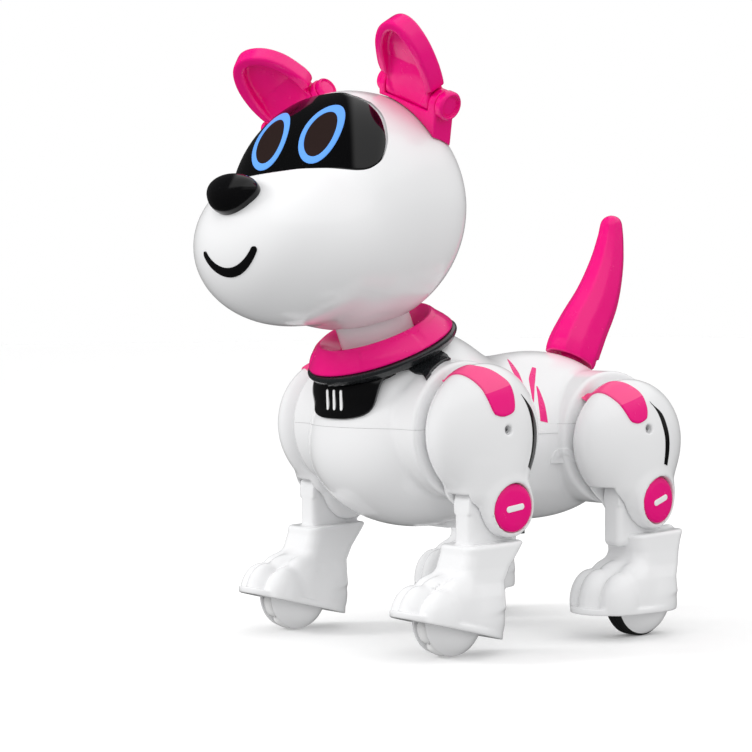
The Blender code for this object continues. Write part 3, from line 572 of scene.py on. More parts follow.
def carve(ob, cutters, op='DIFFERENCE', solver='EXACT'):
    """Boolean with temporary closed meshes given as (verts, faces) in working mm; applied at once."""
    temps = []
    for i, (v, f) in enumerate(cutters):
        me = bpy.data.meshes.new("cut")
        me.from_pydata(((np.array(v, float) + SHIFT) * 0.001).tolist(), [], [list(map(int, q)) for q in f])
        bm = bmesh.new()
        bm.from_mesh(me)
        bmesh.ops.remove_doubles(bm, verts=bm.verts, dist=1e-7)
        bmesh.ops.recalc_face_normals(bm, faces=bm.faces)
        bm.to_mesh(me)
        bm.free()
        c = bpy.data.objects.new("cut", me)
        bpy.context.scene.collection.objects.link(c)
        temps.append(c)
        mod = ob.modifiers.new(f"cut{i}", 'BOOLEAN')
        mod.operation, mod.solver, mod.object = op, solver, c
    bpy.context.view_layer.update()
    dg = bpy.context.evaluated_depsgraph_get()
    me = bpy.data.meshes.new_from_object(ob.evaluated_get(dg))
    ob.modifiers.clear()
    old = ob.data
    ob.data = me
    bpy.data.meshes.remove(old)
    for c in temps:
        m = c.data
        bpy.data.objects.remove(c)
        bpy.data.meshes.remove(m)
    return ob


def cyl_mesh(p0, p1, r, n=72, matrix=None, r2=None):
    p0, p1 = np.array(p0, float), np.array(p1, float)
    a = (p1 - p0) / np.linalg.norm(p1 - p0)
    u = np.cross(a, (1.0, 0, 0) if abs(a[0]) < 0.9 else (0, 1.0, 0))
    u /= np.linalg.norm(u)
    w = np.cross(a, u)
    t = np.linspace(0, 2 * math.pi, n, endpoint=False)
    ring = lambda c, q: c + q * (np.cos(t)[:, None] * u + np.sin(t)[:, None] * w)
    v, f = rings_mesh([ring(p0, r), ring(p1, r if r2 is None else r2)])
    if matrix is not None:
        m = np.array(matrix)
        v = v @ m[:3, :3].T + m[:3, 3]
    return v, f


xz = lambda y: (lambda P2: np.stack([P2[:, 0], np.full(len(P2), float(y)), P2[:, 1]], 1))
FRONT = (0.0, 1.0, 0.0)


def mirrored(half):
    return half + [(-x, z) for x, z in half[::-1]]


def resample(pts, n, per=16):
    """Closed smooth line through the points, evenly spaced."""
    p = spline(pts, per)
    p = np.concatenate([p, p[:1]])
    s = np.concatenate([[0], np.cumsum(np.linalg.norm(np.diff(p, axis=0), axis=1))])
    t = np.linspace(0, s[-1], n, endpoint=False)
    return np.stack([np.interp(t, s, p[:, 0]), np.interp(t, s, p[:, 1])], 1)


POCKET = [(0.01, 201.1), (7, 201.6), (14.3, 202.2), (20, 202.8), (28, 202.6), (34.4, 201.6), (38.6, 201.0), (41.6, 201.3), (43.6, 202.8), (44.8, 205.4), (44.5, 209.8),
          (43.0, 214.7), (39.6, 220.6), (35.1, 225.9), (29.3, 230.5), (24.7, 233.0), (18.5, 235.5), (7.8, 238.3)]


def head_shell(name, front):
    n, rings = 288, 120
    phi = np.linspace(0, 2 * math.pi, n, endpoint=False)
    y_seam = SEAM_Y - 0.175 if front else SEAM_Y + 0.175
    sgn = -1.0 if front else 1.0

    def point(theta, level=0.0):
        D = np.stack([np.sin(theta) * np.cos(phi), sgn * np.cos(theta), np.sin(theta) * np.sin(phi)], 1)
        O = np.tile(HEAD_CORE, (n, 1))
        lo, hi = np.zeros(n), np.full(n, 160.0)
        for _ in range(32):
            m = (lo + hi) / 2
            inside = head_f(O + D * m[:, None]) < level
            lo, hi = np.where(inside, m, lo), np.where(inside, hi, m)
        return O + D * ((lo + hi) / 2)[:, None]

    a, b = np.full(n, 0.02), np.full(n, 3.0)
    for _ in range(26):
        m = (a + b) / 2
        past = (point(m)[:, 1] > y_seam) if front else (point(m)[:, 1] < y_seam)
        a, b = np.where(past, a, m), np.where(past, m, b)
    seam = (a + b) / 2
    t = 1 - (1 - np.linspace(0.004, 1, rings)) ** 1.0
    outer = [point(seam * q) for q in t]
    last = outer[-1].copy()
    nrm = gradient(head_f, last)
    nrm /= np.linalg.norm(nrm, axis=1)[:, None]
    outer[-1] = point(seam * (1 - 0.0022))
    lip = [last - nrm * 0.10, last - nrm * 0.35]
    for L in lip + [last]:
        L[:, 1] = y_seam
    inner = [last - nrm * 2.0]
    inner[0][:, 1] = y_seam
    for q in np.linspace(0.97, 0.02, 26):
        P = point(seam * q)
        g = gradient(head_f, P)
        g /= np.linalg.norm(g, axis=1)[:, None]
        inner.append(P - g * wall(P)[:, None])
    v, f = rings_mesh(outer + lip + inner, cap0=True, cap1=True)
    ob = piece(name, v, f, WHITE, "head", (name,), YAW, smooth=True)
    hole = cyl_mesh(np.array((0, -60, 166.0)) - AXIS * 50, np.array((0, -60, 166.0)) + AXIS * 6, 21.5, 96, YAW)
    cutters = [hole]
    if front:
        line = resample(mirrored(POCKET), 320)
        near = xz(-150)(line)
        far = cast(brow_f, near, np.tile(FRONT, (len(near), 1)).astype(float), 0, 100, level=-1.3)
        fans = [near]
        loops = [line]
        for q in np.linspace(1, 0.03, 34):
            fans.append(cast(brow_f, xz(-150)(np.array((0, 218.0)) + (line - (0, 218.0)) * q), np.tile(FRONT, (len(near), 1)).astype(float), 0, 100, level=-1.3))
        v, f = rings_mesh(fans)
        m = np.array(YAW)
        cutters.append((v @ m[:3, :3].T + m[:3, 3], f))
    carve(ob, cutters, solver='MANIFOLD')
    ob.data.shade_smooth()
    ob.data.set_sharp_from_angle(angle=math.radians(38))
    return ob


head_shell("head_front_shell", True)
head_shell("head_back_shell", False)

line = resample(mirrored(POCKET), 320)
nrm_ = np.roll(line, -1, 0) - np.roll(line, 1, 0)
nrm_ = np.stack([-nrm_[:, 1], nrm_[:, 0]], 1) / np.linalg.norm(nrm_, axis=1)[:, None]
nrm_ *= np.sign(((np.array((0, 216.0)) - line) * nrm_).sum(1))[:, None]
plate("eye_visor", line + nrm_ * 0.28, brow_f, xz(-150), FRONT, 0, 100, SCREEN, "head", height=0.35, sink=1.0, edge=0.9, rings=44,
      replaces=("eye_visor",), matrix=YAW, centre=(0, 217))

EYE_X, EYE_Z, EYE_A, EYE_B = 15.3, 218.6, 11.1, 12.7


def visor_f(P):
    return brow_f(P) - 0.35


for side, s in (("left", 1), ("right", -1)):
    t = np.linspace(0, 2 * math.pi, 128, endpoint=False)
    c = np.array((s * EYE_X, EYE_Z))
    oval = np.stack([c[0] + EYE_A * np.cos(t), c[1] + EYE_B * np.sin(t)], 1)
    hole = np.stack([c[0] + (EYE_A - 3.05) * np.cos(t), c[1] + (EYE_B - 3.05) * np.sin(t)], 1)
    rows = []
    for k, z in ((0.0, -0.5), (0.0, 0.12), (0.06, 0.26), (0.2, 0.30), (0.5, 0.30), (0.8, 0.30), (0.94, 0.26), (1.0, 0.12), (1.0, -0.5)):
        P2 = oval * (1 - k) + hole * k
        S = cast(visor_f, xz(-150)(P2), np.tile(FRONT, (len(P2), 1)).astype(float), 0, 90)
        g = gradient(brow_f, S)
        g /= np.linalg.norm(g, axis=1)[:, None]
        rows.append(S + g * z)
    rows.append(rows[0].copy())
    v, f = rings_mesh(rows, cap0=False, cap1=False)
    piece("eye_ring_" + side, v, f, EYE_BLUE, "head", ("eye_ring_" + side,), YAW, sharp=50)
    plate("pupil_" + side, c + (hole - c) * 0.995, visor_f, xz(-150), FRONT, 0, 90, PUPIL, "head", height=0.16, sink=0.4, edge=0.25,
          rings=10, matrix=YAW)

# mouth: a tapered stroke with round ends, slightly raised from the muzzle
th = np.linspace(0, math.pi, 900)
curve = np.stack([-15.2 * np.cos(th), 170.6 - 9.8 * np.sin(th) ** 1.55], 1)
run = np.concatenate([[0], np.cumsum(np.linalg.norm(np.diff(curve, axis=0), axis=1))])
total = run[-1]
at = np.sort(np.concatenate([np.linspace(0, total, 150), 1.5 * (1 - np.cos(np.linspace(0, math.pi / 2, 14)))[1:-1], total - 1.5 * (1 - np.cos(np.linspace(0, math.pi / 2, 14)))[1:-1]]))
mid_line = np.stack([np.interp(at, run, curve[:, 0]), np.interp(at, run, curve[:, 1])], 1)
tan = np.gradient(mid_line, at, axis=0)
tan /= np.linalg.norm(tan, axis=1)[:, None]
nor = np.stack([-tan[:, 1], tan[:, 0]], 1)
half = 1.45 + 0.55 * np.sin(math.pi * at / total) ** 1.2
endcap = np.clip(np.minimum(at, total - at) / 1.5, 0, 1)
half = half * np.sqrt(np.clip(1 - (1 - endcap) ** 2, 0.004, 1))
strip("mouth_inlay", mid_line + nor * half[:, None], mid_line - nor * half[:, None], head_f, xz(-160), FRONT, 0, 90,
      BLACK, "head", height=0.45, sink=0.6, edge=0.5, across=6, replaces=("mouth_inlay",), matrix=YAW)

# nose: rounded triangle, full at the top and drawn in below
NOSE = YAW @ Matrix.Translation((0, -130.4, 194.2)) @ Matrix.Rotation(math.radians(-22), 4, 'X')


def nose_f(P):
    d = blobs_d(P, [((0, 0, 0), (13.3, 8.4, 7.2)), ((0, -1.0, -4.0), (8.0, 7.2, 5.6))], 2.5)
    return d


solid("nose", nose_f, (-16, -12, -13), (16, 12, 11), 0.6, BLACK, "head", ("nose",), NOSE)


# ------------------------------------------------------------------ torso
TORSO_BLOBS = [((0, -29, 86), (42, 44, 36), 2.3), ((0, 42, 88), (40, 46, 38)), ((0, 8, 85), (38, 34, 34)),
               ((0, -38, 109), (33, 25, 24)), ((0, -22, 108), (28, 28, 27))]


def torso_body(P):
    return blobs_d(P, TORSO_BLOBS, 6.0)


def torso_f(P):
    d = torso_body(P)
    for by, bz in ((FRONT_Y, FRONT_Z), (REAR_Y, REAR_Z)):
        d = smin(d, cyl_d(P, (-43.3, by, bz), (43.3, by, bz), 29.8, 1.6), 1.6)
    return smax(d, (P - (COLLAR_C - AXIS * 4.5)) @ AXIS, 0.8)


def torso_shell(P):
    d = torso_f(P)
    d = smax(d, -(d + 2.2), 0.4)
    for by, bz in ((FRONT_Y, FRONT_Z), (REAR_Y, REAR_Z)):
        d = np.maximum(d, -cyl_d(P, (-60, by, bz), (60, by, bz), 3.4))
    d = np.maximum(d, -cyl_d(P, COLLAR_C - AXIS * 18, COLLAR_C + AXIS * 6, 17.4))
    return np.maximum(d, -cyl_d(P, (0, 66, 100), (0, 66, 150), 6.2))


# ------------------------------------------------------------------ legs (left side, mirrored for the right)
LEG = {"front": (FRONT_Y, FRONT_Z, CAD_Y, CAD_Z, FW_Y), "rear": (REAR_Y, REAR_Z, RK_Y, RK_Z, RW_Y)}
CAP_TURN = {"front": 0.0, "rear": 9.0}       # the rear knee cap looks a little backwards


def cap_axis(end):
    a = math.radians(CAP_TURN[end])
    return np.array((math.cos(a), math.sin(a), 0.0))


def cap_centre(end):
    hy, hz, ky, kz, wy = LEG[end]
    return np.array((66.4, ky, kz))


def upper_skin(P, end):
    hy, hz, ky, kz, wy = LEG[end]
    my, mz = (hy + ky) / 2, (hz + kz) / 2
    ub = [((53, hy, hz), (14.5, 29, 29)), ((54, my, mz - 3), (12, 15, 18)), ((55, ky, kz), (9.5, 12, 11.8))]
    if end == "rear":
        ub[0] = ((53, hy, hz - 1), (14.5, 30, 27.5))
    d = blobs_d(P, ub, 3.5)
    d = smin(d, box_d(P, (53.2, ky - 9.6, kz + 12.5), (10.2, 10.8, 11.0), 5.5), 5.0)
    c, a = cap_centre(end), cap_axis(end)
    hub = cyl_d(P, c - a * 20, c - a * 0.2, 12.7, 2.4)
    return smin(d, hub, 4.5)


def upper_f(P, end):
    hy, hz, ky, kz, wy = LEG[end]
    d = upper_skin(P, end)
    c, a = cap_centre(end), cap_axis(end)
    d = smax(d, 44.2 - P[:, 0], 0.7)
    arch = [(ky + 15.2 * math.cos(math.radians(t)), kz + 15.2 * math.sin(math.radians(t))) for t in range(-8, 127, 6)]
    arch += [(ky + 20.4 * math.cos(math.radians(t)), kz + 20.4 * math.sin(math.radians(t))) for t in range(127, 164, 6)]
    arch = [(ky + 30, kz - 30), (ky + 30, kz - 3)] + arch + [(ky - 30, kz + 6), (ky - 30, kz - 30)]
    slot = np.maximum(np.abs(P[:, 0] - 55) - 5.7, poly_d(P[:, 1], P[:, 2], arch))
    d = smax(d, -slot, 0.9)
    d = smax(d, -cyl_d(P, c - a * 1.9, c + a * 20, 10.7), 0.5)
    hole = HOLE_AT[end]
    d = smax(d, -cyl_d(P, (hole[0] - 2.6, hole[1], hole[2]), (hole[0] + 12, hole[1], hole[2]), 2.0), 0.5)
    return np.maximum(d, -cyl_d(P, (40, hy, hz), (47, hy, hz), 3.2))


def along_z(z, stations):
    st = np.array(stations, float)
    return [np.interp(z, st[:, 0], st[:, k]) for k in range(1, st.shape[1])]


# shin and paw stations: height, middle y, half length (y), half width (x), corner radius
SHIN = {"front": [(26, 8.5, 15.0, 14.4, 7.0), (31, 10.5, 13.6, 12.8, 6.5), (37, 14.0, 13.4, 12.0, 6.0), (43, 17.4, 14.6, 11.6, 5.4), (47, 19.0, 15.8, 11.4, 5.0)],
        "rear": [(27, -0.5, 15.2, 14.4, 7.0), (32, 3.0, 13.8, 12.8, 6.5), (38, 4.2, 13.6, 12.0, 6.0), (43, 4.4, 14.6, 11.6, 5.4), (47, 4.6, 15.8, 11.4, 5.0)]}


def lower_f(P, end):
    hy, hz, ky, kz, wy = LEG[end]
    x, y, z = P[:, 0] - 55, P[:, 1] - wy, P[:, 2]
    pitch = math.tan(math.radians(-14.0 if end == "front" else 0.0))
    # shin: rounded box section that follows the stations
    cy, hl, hw, rad = along_z(z, SHIN[end])
    qx, qy = np.abs(x) - (hw - rad), np.abs(y - cy) - (hl - rad)
    sec = np.hypot(np.maximum(qx, 0), np.maximum(qy, 0)) + np.minimum(np.maximum(qx, qy), 0) - rad
    top = z - (47.2 + (y - 19.5) * 0.05)
    shin = smax(smax(sec * 0.9, top, 1.6), 20 - z, 1.0)
    # heel spur behind the top of the shin
    sy = (34.5 if end == "front" else 20.0)
    spur = cone_d(P, (55, wy + sy - 9, 42.5), (55, wy + sy - 0.5, 46.0), 6.5, 2.2, 1.0)
    shin = smin(shin, smax(spur, np.abs(x) - 10.2, 1.5), 2.5)
    # paw: a low dome with three toes, cut off by a plane that leans with the foot
    fy = 0.5 if end == "front" else -7.5
    back = 24.5
    paw = blob_d(P, (55, wy + fy + 4.0, 15.0), (16.8, 22.5, 20.5), 2.2)
    toes = None
    for tx, ty, r in ((-9.7, -11.5, 7.5), (0.0, -15.3, 7.6), (9.7, -11.5, 7.5)):
        t = blob_d(P, (55 + tx, wy + fy + ty, 16.0), (r, 10.6, 14.0 if tx else 15.0))
        t = smin(t, blob_d(P, (55 + tx * 0.9, wy + fy + ty + 9.5, 21.0), (r, 11.0, 13.0)), 1.6)
        toes = t if toes is None else smin(toes, t, 1.2)
    paw = smin(paw, toes, 1.6)
    flat_ = P * np.array((1.0, 1.0, 0.0))
    rim = smax(blob_d(flat_, (55, wy + fy - 0.9, 0), (17.5, 26.2, 9.0), 2.25), np.abs(z - (12.9 + pitch * (y - fy))) - 1.7, 0.6)
    paw = smin(paw, rim, 0.6)
    base = (11.7 + pitch * (y - fy)) - z
    paw = smax(paw, base, 0.6)
    d = smin(paw, shin, 3.0)
    d = smax(d, y - (back + (8.0 if end == "front" else 1.0)) - (z - 20) * 0.5, 1.5)
    # room for the thigh, then the knuckle and the knee block
    d = smax(d, -(np.hypot(P[:, 1] - ky, z - kz) - 14.3), 0.6)
    kn = cyl_d(P, (49.9, ky, kz), (60.1, ky, kz), 14.2, 1.0)
    fyk = ky - (13.0 if end == "front" else 12.0)
    block = box_d(P, (55, (fyk - 6.5 + ky + 7) / 2, (40.5 + kz + 1.4) / 2), (5.3, (ky + 7 - fyk + 6.5) / 2, (kz + 1.4 - 40.5) / 2), 2.8)
    # the front of the knee block is turned about the pin and runs up inside the thigh, so no gap opens as it moves
    reach = 19.5 if end == "front" else 18.4
    fan = [(ky, kz)] + [(ky + reach * math.cos(math.radians(t)), kz + reach * math.sin(math.radians(t))) for t in range(188, 145, -5)]
    fan = smax(poly_d(P[:, 1], z, fan), np.abs(P[:, 0] - 55) - 5.3, 0.8)
    d = smin(d, smin(smin(kn, block, 0.8), fan, 0.6), 0.8)
    # wheel well
    d = smax(d, -blob_d(P, (55, wy, WHEEL_R), (14.3, WHEEL_R + 1.4, WHEEL_R + 1.4)), 0.5)
    return np.maximum(d, -cyl_d(P, (55 - 14.2, wy, WHEEL_R), (55 + 14.2, wy, WHEEL_R), 1.75))


# ------------------------------------------------------------------ torso pieces
HOLE_AT = {"front": (67.8, -31.0, 95.1), "rear": (67.4, 51.5, 92.8)}


def box_mesh(lo, hi):
    (x0, y0, z0), (x1, y1, z1) = lo, hi
    v = [(x0, y0, z0), (x1, y0, z0), (x1, y1, z0), (x0, y1, z0), (x0, y0, z1), (x1, y0, z1), (x1, y1, z1), (x0, y1, z1)]
    return v, [(0, 3, 2, 1), (4, 5, 6, 7), (0, 1, 5, 4), (1, 2, 6, 5), (2, 3, 7, 6), (3, 0, 4, 7)]


tv, tq = surface(torso_shell, (-46, -80, 46), (46, 92, 136), 1.0)
seam = {"torso_upper_shell": ((-90, -150, SPLIT_Z + 0.05), (90, 150, 250)), "torso_lower_shell": ((-90, -150, -50), (90, 150, SPLIT_Z - 0.05))}
for name, (lo, hi) in seam.items():
    ob = piece(name, tv, tq, WHITE, "torso", (name,))
    carve(ob, [box_mesh(lo, hi)], 'INTERSECT')
    if "lower" in name:
        carve(ob, [box_mesh((-16.4, -22.4, 40), (16.4, 26.4, 62)), box_mesh((20.2, 9.4, 40), (27.8, 18.6, 60))])
    ob.data.materials.clear()
    ob.data.materials.append(WHITE)
    ob.data.shade_smooth()
    ob.data.set_sharp_from_angle(angle=math.radians(40))

# belly door with a finger ridge and its screw seat
door_line = spline([(-16, -22 + 3), (-16, 2), (-16, 23), (-14.8, 25.4), (-12, 26), (0, 26), (12, 26), (14.8, 25.4), (16, 23), (16, 2), (16, -19), (14.8, -21.4), (12, -22), (0, -22), (-12, -22), (-14.8, -21.4)], 4)


def door_f(P):
    return np.maximum(poly_d(P[:, 0], P[:, 1], door_line), np.abs(P[:, 2] - 52.2) - 2.8)


def door_full(P):
    d = smax(poly_d(P[:, 0], P[:, 1], [(-16, -22), (16, -22), (16, 26), (-16, 26)]), np.abs(P[:, 2] - 52.2) - 2.8, 0.9)
    for k in range(4):
        d = smax(d, -box_d(P, (0, -14.5 + 3.2 * k, 49.1), (9.0, 0.7, 0.8), 0.4), 0.4)
    return smax(d, -cyl_d(P, (0, 20, 40), (0, 20, 51.0), 3.1), 0.4)


solid("battery_door", door_full, (-18, -24, 48), (18, 28, 57), 0.55, WHITE, "torso", ("battery_door",))

# side seam band between the legs, and the half-round catch below it
for s in (1, -1):
    sd = "left" if s > 0 else "right"
    flat, to3, away = aim((1, 0, 0), (0, 12, 90), 60)
    band = [(40, -6, 95.0), (40, 22.0, 95.0), (40, 22.0, 90.8), (40, -6, 90.8)]
    pts = flat(band)
    line = np.concatenate([np.linspace(pts[i], pts[(i + 1) % 4], 24, endpoint=False) for i in range(4)])
    plate("seam_band_" + sd, line, torso_f, to3, away, 0, 60, WHITE, "torso", height=0.35, sink=0.5, edge=0.35, rings=6,
          mirror=s < 0)
    a = np.linspace(math.radians(-10), math.radians(190), 40)
    tab = np.stack([24.0 + 6.0 * np.cos(a), 78.5 + 6.0 * np.sin(a)], 1)
    tab = flat(np.stack([np.full(40, 40.0), tab[:, 0], tab[:, 1]], 1))
    plate("side_catch_" + sd, tab, torso_f, to3, away, 0, 60, WHITE, "torso", height=0.5, sink=0.5, edge=0.6, rings=8,
          mirror=s < 0)

# printed slashes on the flank: three tapered strokes that don't join
SLASHES = [
    ([(10.6, 18.0, 123.0), (21.0, 13.0, 118.0), (32.0, 9.4, 108.0)], (0.4, 3.1, 0.7)),
    ([(35.4, 11.5, 104.4), (27.6, 17.4, 113.2), (21.2, 24.6, 119.4)], (0.5, 3.2, 1.8)),
    ([(30.4, 18.2, 111.6), (35.6, 16.2, 104.6), (39.0, 14.7, 96.0)], (0.6, 3.5, 4.2)),
]
for s in (1, -1):
    sd = "left" if s > 0 else "right"
    flat, to3, away = aim((0.82, -0.28, 0.5), (5, 15, 92), 70)
    for i, (pts, widths) in enumerate(SLASHES):
        c = spline(flat(pts), 16, closed=False)
        t = np.gradient(c, axis=0)
        t /= np.linalg.norm(t, axis=1)[:, None]
        nrm = np.stack([-t[:, 1], t[:, 0]], 1)
        u = np.linspace(0, 1, len(c))
        w = np.interp(u, (0, 0.55, 1), widths)[:, None] / 2
        strip(f"flank_mark_{i + 1}_{sd}", c + nrm * w, c - nrm * w, torso_f, to3, away, 0, 70, PINK_PAINT, "torso",
              height=0.12, sink=0.3, edge=0.15, across=5, mirror=s < 0)

# chest badge on the torso, with three raised bars
BADGE = [(-23.4, 126.0), (-23.4, 114.0), (-21.7, 106.6), (-18.1, 101.4), (-10.5, 99.1), (0, 98.6), (10.5, 99.1), (18.1, 101.4), (21.7, 106.6), (23.4, 114.0), (23.4, 126.0)]
bl = np.concatenate([spline(BADGE, 10, closed=False), np.linspace((23.4, 126.0), (-23.4, 126.0), 60)[1:-1]])
flat, to3, away = aim((0, -1, 0), (0, 0, 0), 120)


def chest_f(P):
    d = smin(torso_body(P) - 1.0, blob_d(P, (0, -50, 110), (30, 21.7, 20), 2.5), 1.5)
    return smax(d, (P - (COLLAR_C - AXIS * 4.6)) @ AXIS, 0.8)


ob = plate("chest_badge", np.stack([bl[:, 0], bl[:, 1]], 1), chest_f, to3, away, 0, 90, BLACK, "torso", height=0.35, sink=2.6,
           edge=0.9, rings=24, replaces=("chest_badge",), centre=(0, 110))
for i, x in enumerate((-4.8, 0.0, 4.8)):
    a = np.linspace(0, 2 * math.pi, 48, endpoint=False)
    bar = np.stack([x + 0.78 * np.cos(a), 106.6 + 0.78 * np.sin(a) + np.where(np.sin(a) >= 0, 3.7, -3.7)], 1)
    plate(f"badge_bar_{i + 1}", bar, lambda P: chest_f(P) - 0.35, to3, away, 0, 90, PALE, "torso", height=0.25, sink=0.4,
          edge=0.35, rings=6)


# ------------------------------------------------------------------ collar
def collar_mesh(name, mat, profile_at, n=360, replaces=()):
    """Ring turned about the leaning neck axis whose profile may change round the turn; profile_at(angle) gives
    (radius, height) pairs; angle 0 is the dog's left, -90 the front."""
    prof = [np.array(profile_at(2 * math.pi * i / n)) for i in range(n)]
    m = len(prof[0])
    rings = []
    for k in range(m):
        a = 2 * math.pi * np.arange(n) / n
        r = np.array([p[k, 0] for p in prof])
        h = np.array([p[k, 1] for p in prof])
        rings.append(np.stack([r * np.cos(a), r * np.sin(a), h], 1))
    rings.append(rings[0].copy())
    v, f = rings_mesh(rings, cap0=False, cap1=False)
    return piece(name, v, f, mat, "torso", replaces, UP, sharp=24)


def bell(x, c, w, soft):
    """1 inside c +- w, 0 outside, with a ramp of soft degrees."""
    d = np.abs((x - c + 180) % 360 - 180)
    return float(np.clip((w - d) / soft + 0.5, 0, 1))


def collar_profile(a):
    deg = math.degrees(a)
    side = 1.0 if math.cos(a) >= 0 else -1.0
    # angle from the front, the same on both sides
    f = abs((deg + 90 + 180) % 360 - 180)
    raised = bell(f, 60, 25, 3.0)              # lighter raised panel on each side of the lower rim
    panel2 = bell(f, 112, 20, 3.0)
    lift = 0.9 * max(raised, panel2)
    back = np.clip((f - 120) / 40, 0, 1)
    pts = [(17.6, 1.6), (17.9, 2.8), (20.2, 5.1), (23.0, 7.3 + 0.5 * back), (24.4, 8.2 + 0.6 * back), (25.2, 8.55 + 0.6 * back), (26.0, 8.5 + 0.6 * back), (26.8, 7.9 + 0.5 * back),
           (27.7, 6.9 + 0.3 * back), (28.0, 6.6 + 0.3 * lift), (28.3, 6.3 + lift), (31.1, 3.2 + lift), (32.0, 1.95 + lift * 0.8), (32.6, 1.15 + lift * 0.3),
           (33.0, 0.4), (32.9, -0.25), (32.4, -0.6), (25.0, -0.6), (18.6, 0.6)]
    return pts


collar_mesh("collar_ring", PINK, collar_profile, replaces=("collar_ring",))
collar_mesh("collar_base", GREY, lambda a: fillet([(32.7, -0.75), (34.2, -1.3), (34.3, -2.7), (32.2, -5.4), (17.9, -5.4), (17.9, -0.75)], 0.6, 3, closed=True),
            replaces=("collar_base",))

# dark wings that run from the collar base to the shoulders
WING = [(17.0, -62, 115.6), (20.5, -58.5, 116.8), (26.5, -52.1, 119.9), (31.5, -51.2, 119.0), (36.1, -50.9, 117.8), (40.7, -53.5, 115.7), (40.0, -50.5, 118), (38.8, -49.3, 119.0),
        (34.5, -40, 121.8), (31.5, -32.7, 123.9), (28.5, -32.6, 126.0), (25.2, -36, 128.5), (16, -46, 130), (10, -56, 124)]
for s in (1, -1):
    sd = "left" if s > 0 else "right"
    flat, to3, away = aim((0.55, -0.35, 0.76), (4, -34, 92), 70)
    p = flat(WING)
    line = np.concatenate([np.linspace(p[i], p[(i + 1) % len(p)], 10, endpoint=False) for i in range(len(p))])
    plate("collar_wing_" + sd, line, torso_f, to3, away, 0, 70, GREY, "torso", height=1.1, sink=0.5, edge=0.7, rings=12,
          mirror=s < 0)

# neck tube with a shallow step near its foot
prof = fillet([(16.5, 30), (16.5, 3.6), (16.2, 3.2), (16.2, 2.6), (16.5, 2.2), (16.5, -10), (14.5, -12), (14.5, 30)], 0.4, 3, closed=True)
lathe("neck_tube", prof, WHITE, "neck", UP, 128, ("neck_tube",))


# ------------------------------------------------------------------ leg pieces
PADS = {
    "front": [(49.5, -50.2, 119.6), (51.0, -46.2, 121.3), (53.0, -41.7, 122.4), (56.0, -39.3, 121.7), (58.8, -34.8, 120.5), (61.1, -30.6, 117.9), (62.8, -26.9, 114.4),
              (64.7, -26.0, 109.7), (66.3, -26.7, 104.2), (66.8, -28.6, 102.0), (67.2, -33.0, 100.8), (67.0, -36.7, 101.3), (66.6, -38.6, 102.8), (65.0, -40.7, 108.4), (63.1, -42.4, 112.6),
              (59.8, -45.3, 116.5), (55.0, -47.9, 118.5)],
    "rear": [(48.5, 31.5, 111.4), (50.0, 35.5, 113.4), (52.0, 40.2, 114.6), (54.7, 44.1, 113.3), (59.3, 47.9, 111.5), (62.5, 51.2, 107.7), (65.1, 51.9, 102.3),
             (66.3, 51.1, 98.5), (66.6, 49.7, 96.8), (66.5, 46.4, 95.3), (66.2, 43.6, 95.6), (65.5, 41.4, 97.1), (62.6, 38.3, 103.4), (60.0, 36.2, 106.3), (54.5, 33.9, 108.7)],
}
STRIPES = {
    "front": ([(63.4, -20.6, 109.9), (64.0, -17.7, 105.1), (64.4, -15.7, 99.0), (64.5, -14.9, 92.0), (64.5, -15.6, 85.1), (65.1, -18.0, 79.0)],
              [(63.5, -20.0, 109.2), (63.4, -15.0, 103.8), (63.1, -12.4, 98.0), (62.9, -11.6, 91.9), (62.6, -12.2, 84.0), (63.3, -15.4, 77.7)]),
    "rear": ([(64.1, 54.9, 104.8), (65.6, 58.4, 99.7), (66.7, 60.4, 93.6), (67.2, 61.3, 88.5), (67.8, 60.9, 82.6), (68.2, 59.8, 77.1)],
             [(64.5, 55.5, 103.8), (65.4, 60.5, 99.5), (66.4, 62.9, 93.5), (66.9, 63.8, 88.4), (67.4, 63.3, 82.5), (67.9, 61.7, 76.4)]),
}
SLOT_TILT = {"front": 8.0, "rear": 17.0}

